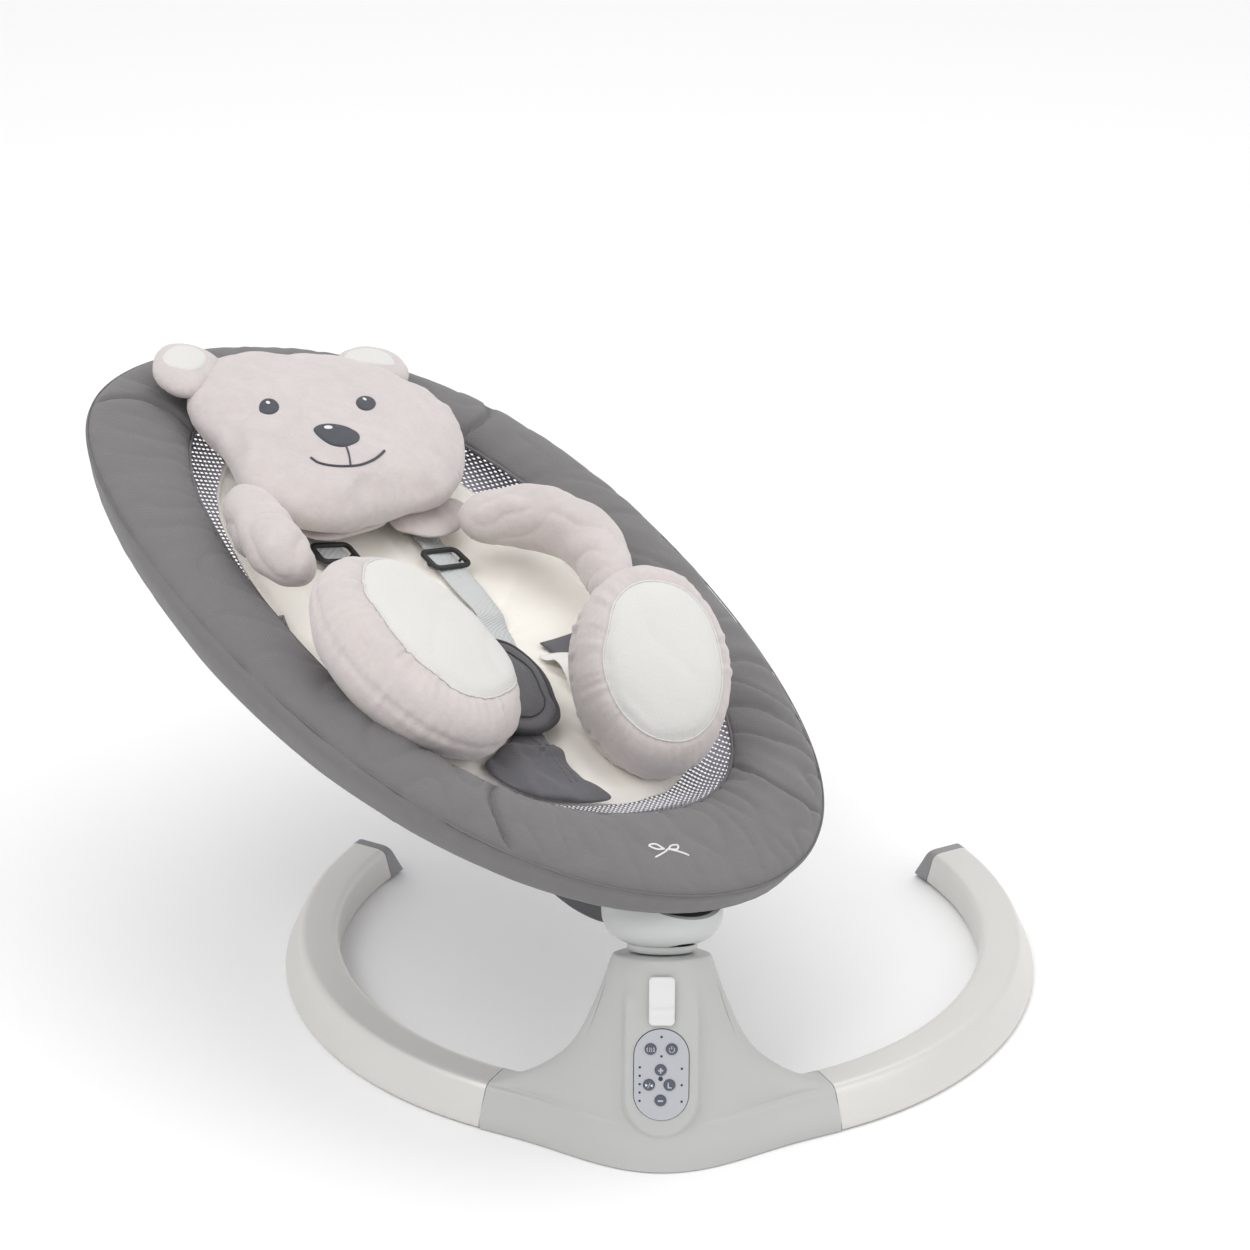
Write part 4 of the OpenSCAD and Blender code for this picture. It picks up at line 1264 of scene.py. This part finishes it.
# Tables of (height, value) for the pedestal's section at each level.
HALF_W = [(0, END_X), (LEG_TOP, END_X), (34, END_X - 1), (36, 118), (40, 108), (46, 97), (54, 85),
          (64, 73), (78, 62), (102, 50), (124, 41.5), (136, 37.5), (138.8, 36), (140, 33)]
MID_FRONT = [(0, 326), (LEG_TOP, 313.5), (60, 304.5), (100, 291.5), (124, 283.5), (136, 279.5),
             (138.8, 277.5), (140, 274.5)]
MID_BACK = [(0, 235), (LEG_TOP, 229), (60, 215), (100, 210.5), (136, 208.5), (138.8, 209.5), (140, 212)]
LEVEL_C = [(0, RING_C), (LEG_TOP, RING_C), (60, 266), (100, 252), (140, HUB_Y)]
EDGE_FRONT = [(0, 22), (1, 22.3), (5, 22.8), (26.5, 13.3), (30.6, 11.1), (LEG_TOP, 7.3), (140, 7.3)]
EDGE_BACK = [(0, 16.3), (1, 17.3), (4, 20.3), (28, 20.3), (31.4, 18.8), (LEG_TOP, 15.3), (140, 15.3)]
SQUARENESS = [(0, 60), (LEG_TOP, 60), (34, 20), (40, 8), (54, 5), (78, 3.4), (102, 2.6), (140, 2)]
TONGUE_HALF, TONGUE_LOW, PANEL_V, PANEL_SIZE = 27.8, 26.5, 73.5, (40, 68.4)


def tongue_edge(x, v):
    """Distance inside the raised U round the controls, in mm; negative outside."""
    centre_v = TONGUE_LOW + TONGUE_HALF
    return TONGUE_HALF - (math.hypot(x, v - centre_v) if v < centre_v else abs(x))


def pedestal_point(a, side, z, tables):
    w, mid_f, mid_b, centre, edge_f, edge_b, square = tables
    x = w * a
    bend = 1 - soft((z - LEG_TOP) / 90)
    phi = math.asin(x / RING_C) * bend
    yc = -centre + bend * (RING_C - math.sqrt(RING_C ** 2 - x * x))
    g = math.cos(math.radians(90 * min(1, abs(x) / END_X))) ** 2.8
    mid = mid_f - centre if side > 0 else centre - mid_b
    edge = edge_f if side > 0 else edge_b
    close = max(0, 1 - abs(a) ** square) ** 0.5
    t = max(0.01, mix(edge, mid, g)) * (close if z > LEG_TOP else 1) * side
    px = x + math.sin(phi) * t
    py = yc - math.cos(phi) * t
    lift = soft((z - 40) / 90) * math.tan(math.radians(20))
    return Vector((px, py, z - (py + centre) * lift))


def shape_front(p, to_face, from_face):
    """Raises the tongue round the controls and hollows the skin beside it."""
    q = to_face @ (p * MM)
    if q.z < -30:
        return p
    inside = tongue_edge(q.x, q.y)
    fade = soft((142 - q.y) / 34) * soft((q.y - 12) / 10)
    raised = soft((inside + 2.4) / 4.8) * fade
    beside = bell(max(0, -inside), 22) * (1 - raised) * soft((150 - q.y) / 40) * soft((q.y - 8) / 22)
    q.z = mix(q.z - 2.0 * beside, max(q.z, -0.1), raised)
    return (from_face @ q) / MM


def pedestal_solid(name):
    levels = ([1, 1.3, 2, 3.2, 5] + list(np.linspace(6.5, 24, 12)) + list(np.linspace(25, 38, 24))
              + list(np.linspace(39, 130, 110))
              + [131.5, 133, 134.5, 136, 137.2, 138.2, 138.9, 139.4, 139.75, 140])
    to_face, from_face = FACE.inverted(), FACE
    across_front = np.linspace(-90, 90, 261)
    across_back = np.linspace(90, -90, 61)
    rings = []
    for z in levels:
        tables = [curve_through(t, z) for t in
                  (HALF_W, MID_FRONT, MID_BACK, LEVEL_C, EDGE_FRONT, EDGE_BACK, SQUARENESS)]
        ring = [shape_front(pedestal_point(math.sin(math.radians(k)), 1, z, tables), to_face, from_face)
                for k in across_front]
        for k in across_back:
            end = z > LEG_TOP and abs(k) == 90
            ring.append(pedestal_point(math.sin(math.radians(k)), 0.9 if end else -1, z, tables))
        rings.append([tuple(p) for p in ring])
    return add_skin(name, rings, WORLD)


def hub_box(o):
    x0, x1, y0, y1, z0, z1 = -30 + o, 30 - o, 18 + o, 78 - o, -95 + o, -17 - o
    return prism("tool", [(x0, y0), (x1, y0), (x1, y1), (x0, y1)], z0, z1, HUB)


def pedestal():
    shell = pedestal_solid("pedestal_shell")
    rear = shell.copy()
    rear.data = shell.data.copy()
    rear.name = "rear_service_cover"
    scene.collection.objects.link(rear)
    cut(rear, hub_box(0.35), "INTERSECT")
    cut(shell, hub_box(0))
    cut(shell, prism("tool", stadium_points(PANEL_SIZE[0] + 1.2, PANEL_SIZE[1] + 1.2),
                     -3.4, 12, FACE @ Matrix.Translation((0, PANEL_V, 0))))
    inlet = [(60 + 5.6 * math.cos(a), 17 + 5.6 * math.sin(a)) for a in turns(32)]
    rings = [[(x, y, z) for x, z in inlet] for y in (-190, -238)]
    cut(shell, add_skin("tool", rings, WORLD))
    for obj, node in ((shell, "base_shell"), (rear, "rear_cover")):
        shade_smooth(obj.data, 32)
        dress(obj, "base", "housing_plastic", stands_for=[node])


LOCK_V, LOCK_SIZE = 129, (19, 36.5)


def lock_slider():
    """Thumb slider: a softly domed plate with a pair of finger ridges low down."""
    outline = resample(np.array(rounded_outline(*LOCK_SIZE, 3.4)), 120, True)
    rings = [[(x, y, 1.35) for x, y in outline * 0.96]]
    for inset, z in ((0, 1.5), (0, 2.4), (0.25, 3.0), (0.7, 3.35)):
        rings.append([(x * (1 - inset / 9.5), y * (1 - inset / 18.2), z) for x, y in outline])
    for k in np.linspace(0.9, 0.03, 26):
        ring = []
        for x, y in outline:
            px, py = x * k, y * k
            z = 3.45 + 0.35 * (1 - k * k)
            z += 1.1 * bell(py + 3.5, 1.5) - 0.35 * bell(py + 7, 2.2) + 0.9 * bell(py + 10.5, 2.0)
            ring.append((px, py, z))
        rings.append(ring)
    obj = add_skin("lock_slider_thumb", rings, FACE @ Matrix.Translation((0, LOCK_V, 0)))
    dress(obj, "lock_slider", "white_plastic", stands_for=["lock_slider"])


def icon(button, strokes, dots=()):
    """White symbol on a button: strokes are (points, width) and dots are outlines, in mm."""
    low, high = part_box(button)
    centre = FACE.inverted() @ ((low + high) / 2)
    top = max((FACE.inverted() @ v.co).z for v in frame["nodes"][button].data.vertices)
    place = FACE @ Matrix.Translation((centre.x, centre.y, top))
    made = []
    for points, width in strokes:
        made.append(ribbon("stroke", [(x, y, 0.03) for x, y in points], width, 0.22, place=place))
    for outline in dots:
        made.append(prism("stroke", outline, -0.05, 0.14, place))
    obj = join(made)
    obj.name = "icon_" + button.replace("button_", "")
    dress(obj, button, "white_plastic", ICON_WHITE)


def ring_arc(r, a0, a1, n=18, x=0.0, y=0.0):
    return [(x + r * math.cos(math.radians(a)), y + r * math.sin(math.radians(a)))
            for a in np.linspace(a0, a1, n)]


def icons():
    icon("button_plus", [([(-2, 0), (0, 0), (2, 0)], 1.1), ([(0, -2), (0, 0), (0, 2)], 1.1)])
    icon("button_minus", [([(-2, 0), (0, 0), (2, 0)], 1.1)])
    icon("button_power", [(ring_arc(2.0, 125, 415), 0.6), ([(0, 0.4), (0, 1.6), (0, 2.8)], 0.6)])
    icon("button_timer", [([(-0.9, 2.3), (-0.9, 0), (-0.9, -1.6)], 0.8),
                          ([(-1.3, -1.6), (0, -1.6), (1.6, -1.6)], 0.8)])
    icon("button_music", [([(-0.7, -1.7), (-0.7, 0), (-0.7, 1.7)], 0.6),
                          ([(0.7, -1.7), (0.7, 0), (0.7, 1.7)], 0.6),
                          (ring_arc(2.6, -38, 38), 0.5), (ring_arc(2.6, 142, 218), 0.5)])
    icon("button_swing", [([(-0.9, -2), (0, 0), (0.9, 2)], 0.5)],
         [[(-2.6, 1.3), (-2.6, -0.9), (-0.9, 0.2)], [(2.6, 1.0), (0.9, -0.1), (2.6, -1.2)]])


# ---------------------------------------------------------------- bowl and spine
BOWL_R, BOWL_SPHERE, BOWL_CENTRE, BOWL_CUT, NECK_SLOT = 45, 80, 83, -28, 13


LATHE_STEPS = 96


def lathe(name, profile, place):
    rings = [[(r * math.cos(a), r * math.sin(a), z) for a in turns(LATHE_STEPS)]
             for r, z in profile]
    return add_skin(name, rings, place)


def bowl_profile(o, corner):
    """Up the spherical underside, round its shoulder and up the side, o inside the outer skin."""
    wall, ball = BOWL_R - o, BOWL_SPHERE - o
    points = [(r, BOWL_CENTRE - math.sqrt(ball ** 2 - r * r))
              for r in np.linspace(0.5, wall - corner, 16)]
    turn = BOWL_CENTRE - math.sqrt(ball ** 2 - wall ** 2)
    last = np.array(points[-1])
    for t in np.linspace(0, 1, 12)[1:]:
        q = ((1 - t) ** 2 * last + 2 * t * (1 - t) * np.array((wall, turn - 1))
             + t * t * np.array((wall, turn + corner)))
        points.append(tuple(q))
    return points + [(wall, 60), (wall, 90)]


def neck():
    """Saucer on the swing shaft that the bowl slides on, with a shadow gap above the column."""
    cup = [(r, BOWL_CENTRE - math.sqrt((BOWL_SPHERE + 0.35) ** 2 - r * r)) for r in (25.6, 22, 18, 14)]
    profile = [(0.5, 0.8), (19, 0.8), (22.5, 1.0), (24.8, 1.9), (25.9, 3.6), (26, 5.4), (26, 7.2)] + cup
    profile += [(12.8, 4.2), (12.8, 8), (0.5, 8)]
    saucer = lathe("neck_saucer", profile, HEAD)
    saucer.data.set_sharp_from_angle(angle=math.radians(35))
    dress(saucer, "swing", "bowl_plastic", stands_for=["swing_neck"])


def bowl():
    outer = lathe("bowl_shell", bowl_profile(0, 15), HEAD)
    hollow = [(r, z + 0.01) for r, z in bowl_profile(3, 6)] + [(BOWL_R - 3, 95)]
    cut(outer, lathe("tool", hollow, HEAD))
    top = prism("tool", [(-200, -600), (200, -600), (200, 0), (-200, 0)], BOWL_CUT, 200, SEAT)
    cut(outer, top)
    slot = [(NECK_SLOT * math.cos(a), -20 + NECK_SLOT * math.sin(a))
            for a in np.linspace(math.pi, 2 * math.pi, 20)]
    slot += [(NECK_SLOT * math.cos(a), NECK_SLOT * math.sin(a)) for a in np.linspace(0, math.pi, 20)]
    cut(outer, prism("tool", slot, -10, 24, HEAD))
    cut(outer, prism("tool", [(-12.5, 26), (12.5, 26), (12.5, 66), (-12.5, 66)], 12, 37, HEAD))
    shade_smooth(outer.data, 35)
    dress(outer, "seat", "bowl_plastic", stands_for=["hub_bowl"])


SPINE_PATH = [(-303, -74), (-286, -87), (-265, -97), (-239, -105), (-197, -112), (-140, -114),
              (-80, -113), (-20, -109), (50, -102), (120, -92), (190, -77), (250, -59), (300, -40),
              (333, -23), (345.5, -16)]


def spine():
    line = smooth_line(SPINE_PATH, 110)
    rings = []
    for j in range(len(line)):
        q = line[min(len(line) - 1, j + 1)] - line[max(0, j - 1)]
        q /= np.linalg.norm(q)
        ring = []
        for a in turns(28):
            h = 7.5 * spow(math.sin(a), 0.5)
            ring.append((11 * spow(math.cos(a), 0.5), line[j][0] - q[1] * h, line[j][1] + q[0] * h))
        rings.append(ring)
    dress(add_skin("spine_bar", rings), "seat", "frame_steel", stands_for=["spine_tube"])


base_ring()
pedestal()
lock_slider()
icons()
neck()
bowl()
spine()
frame["nodes"]["recline_carriage"].data.materials[0] = MATERIALS["bowl_plastic"]
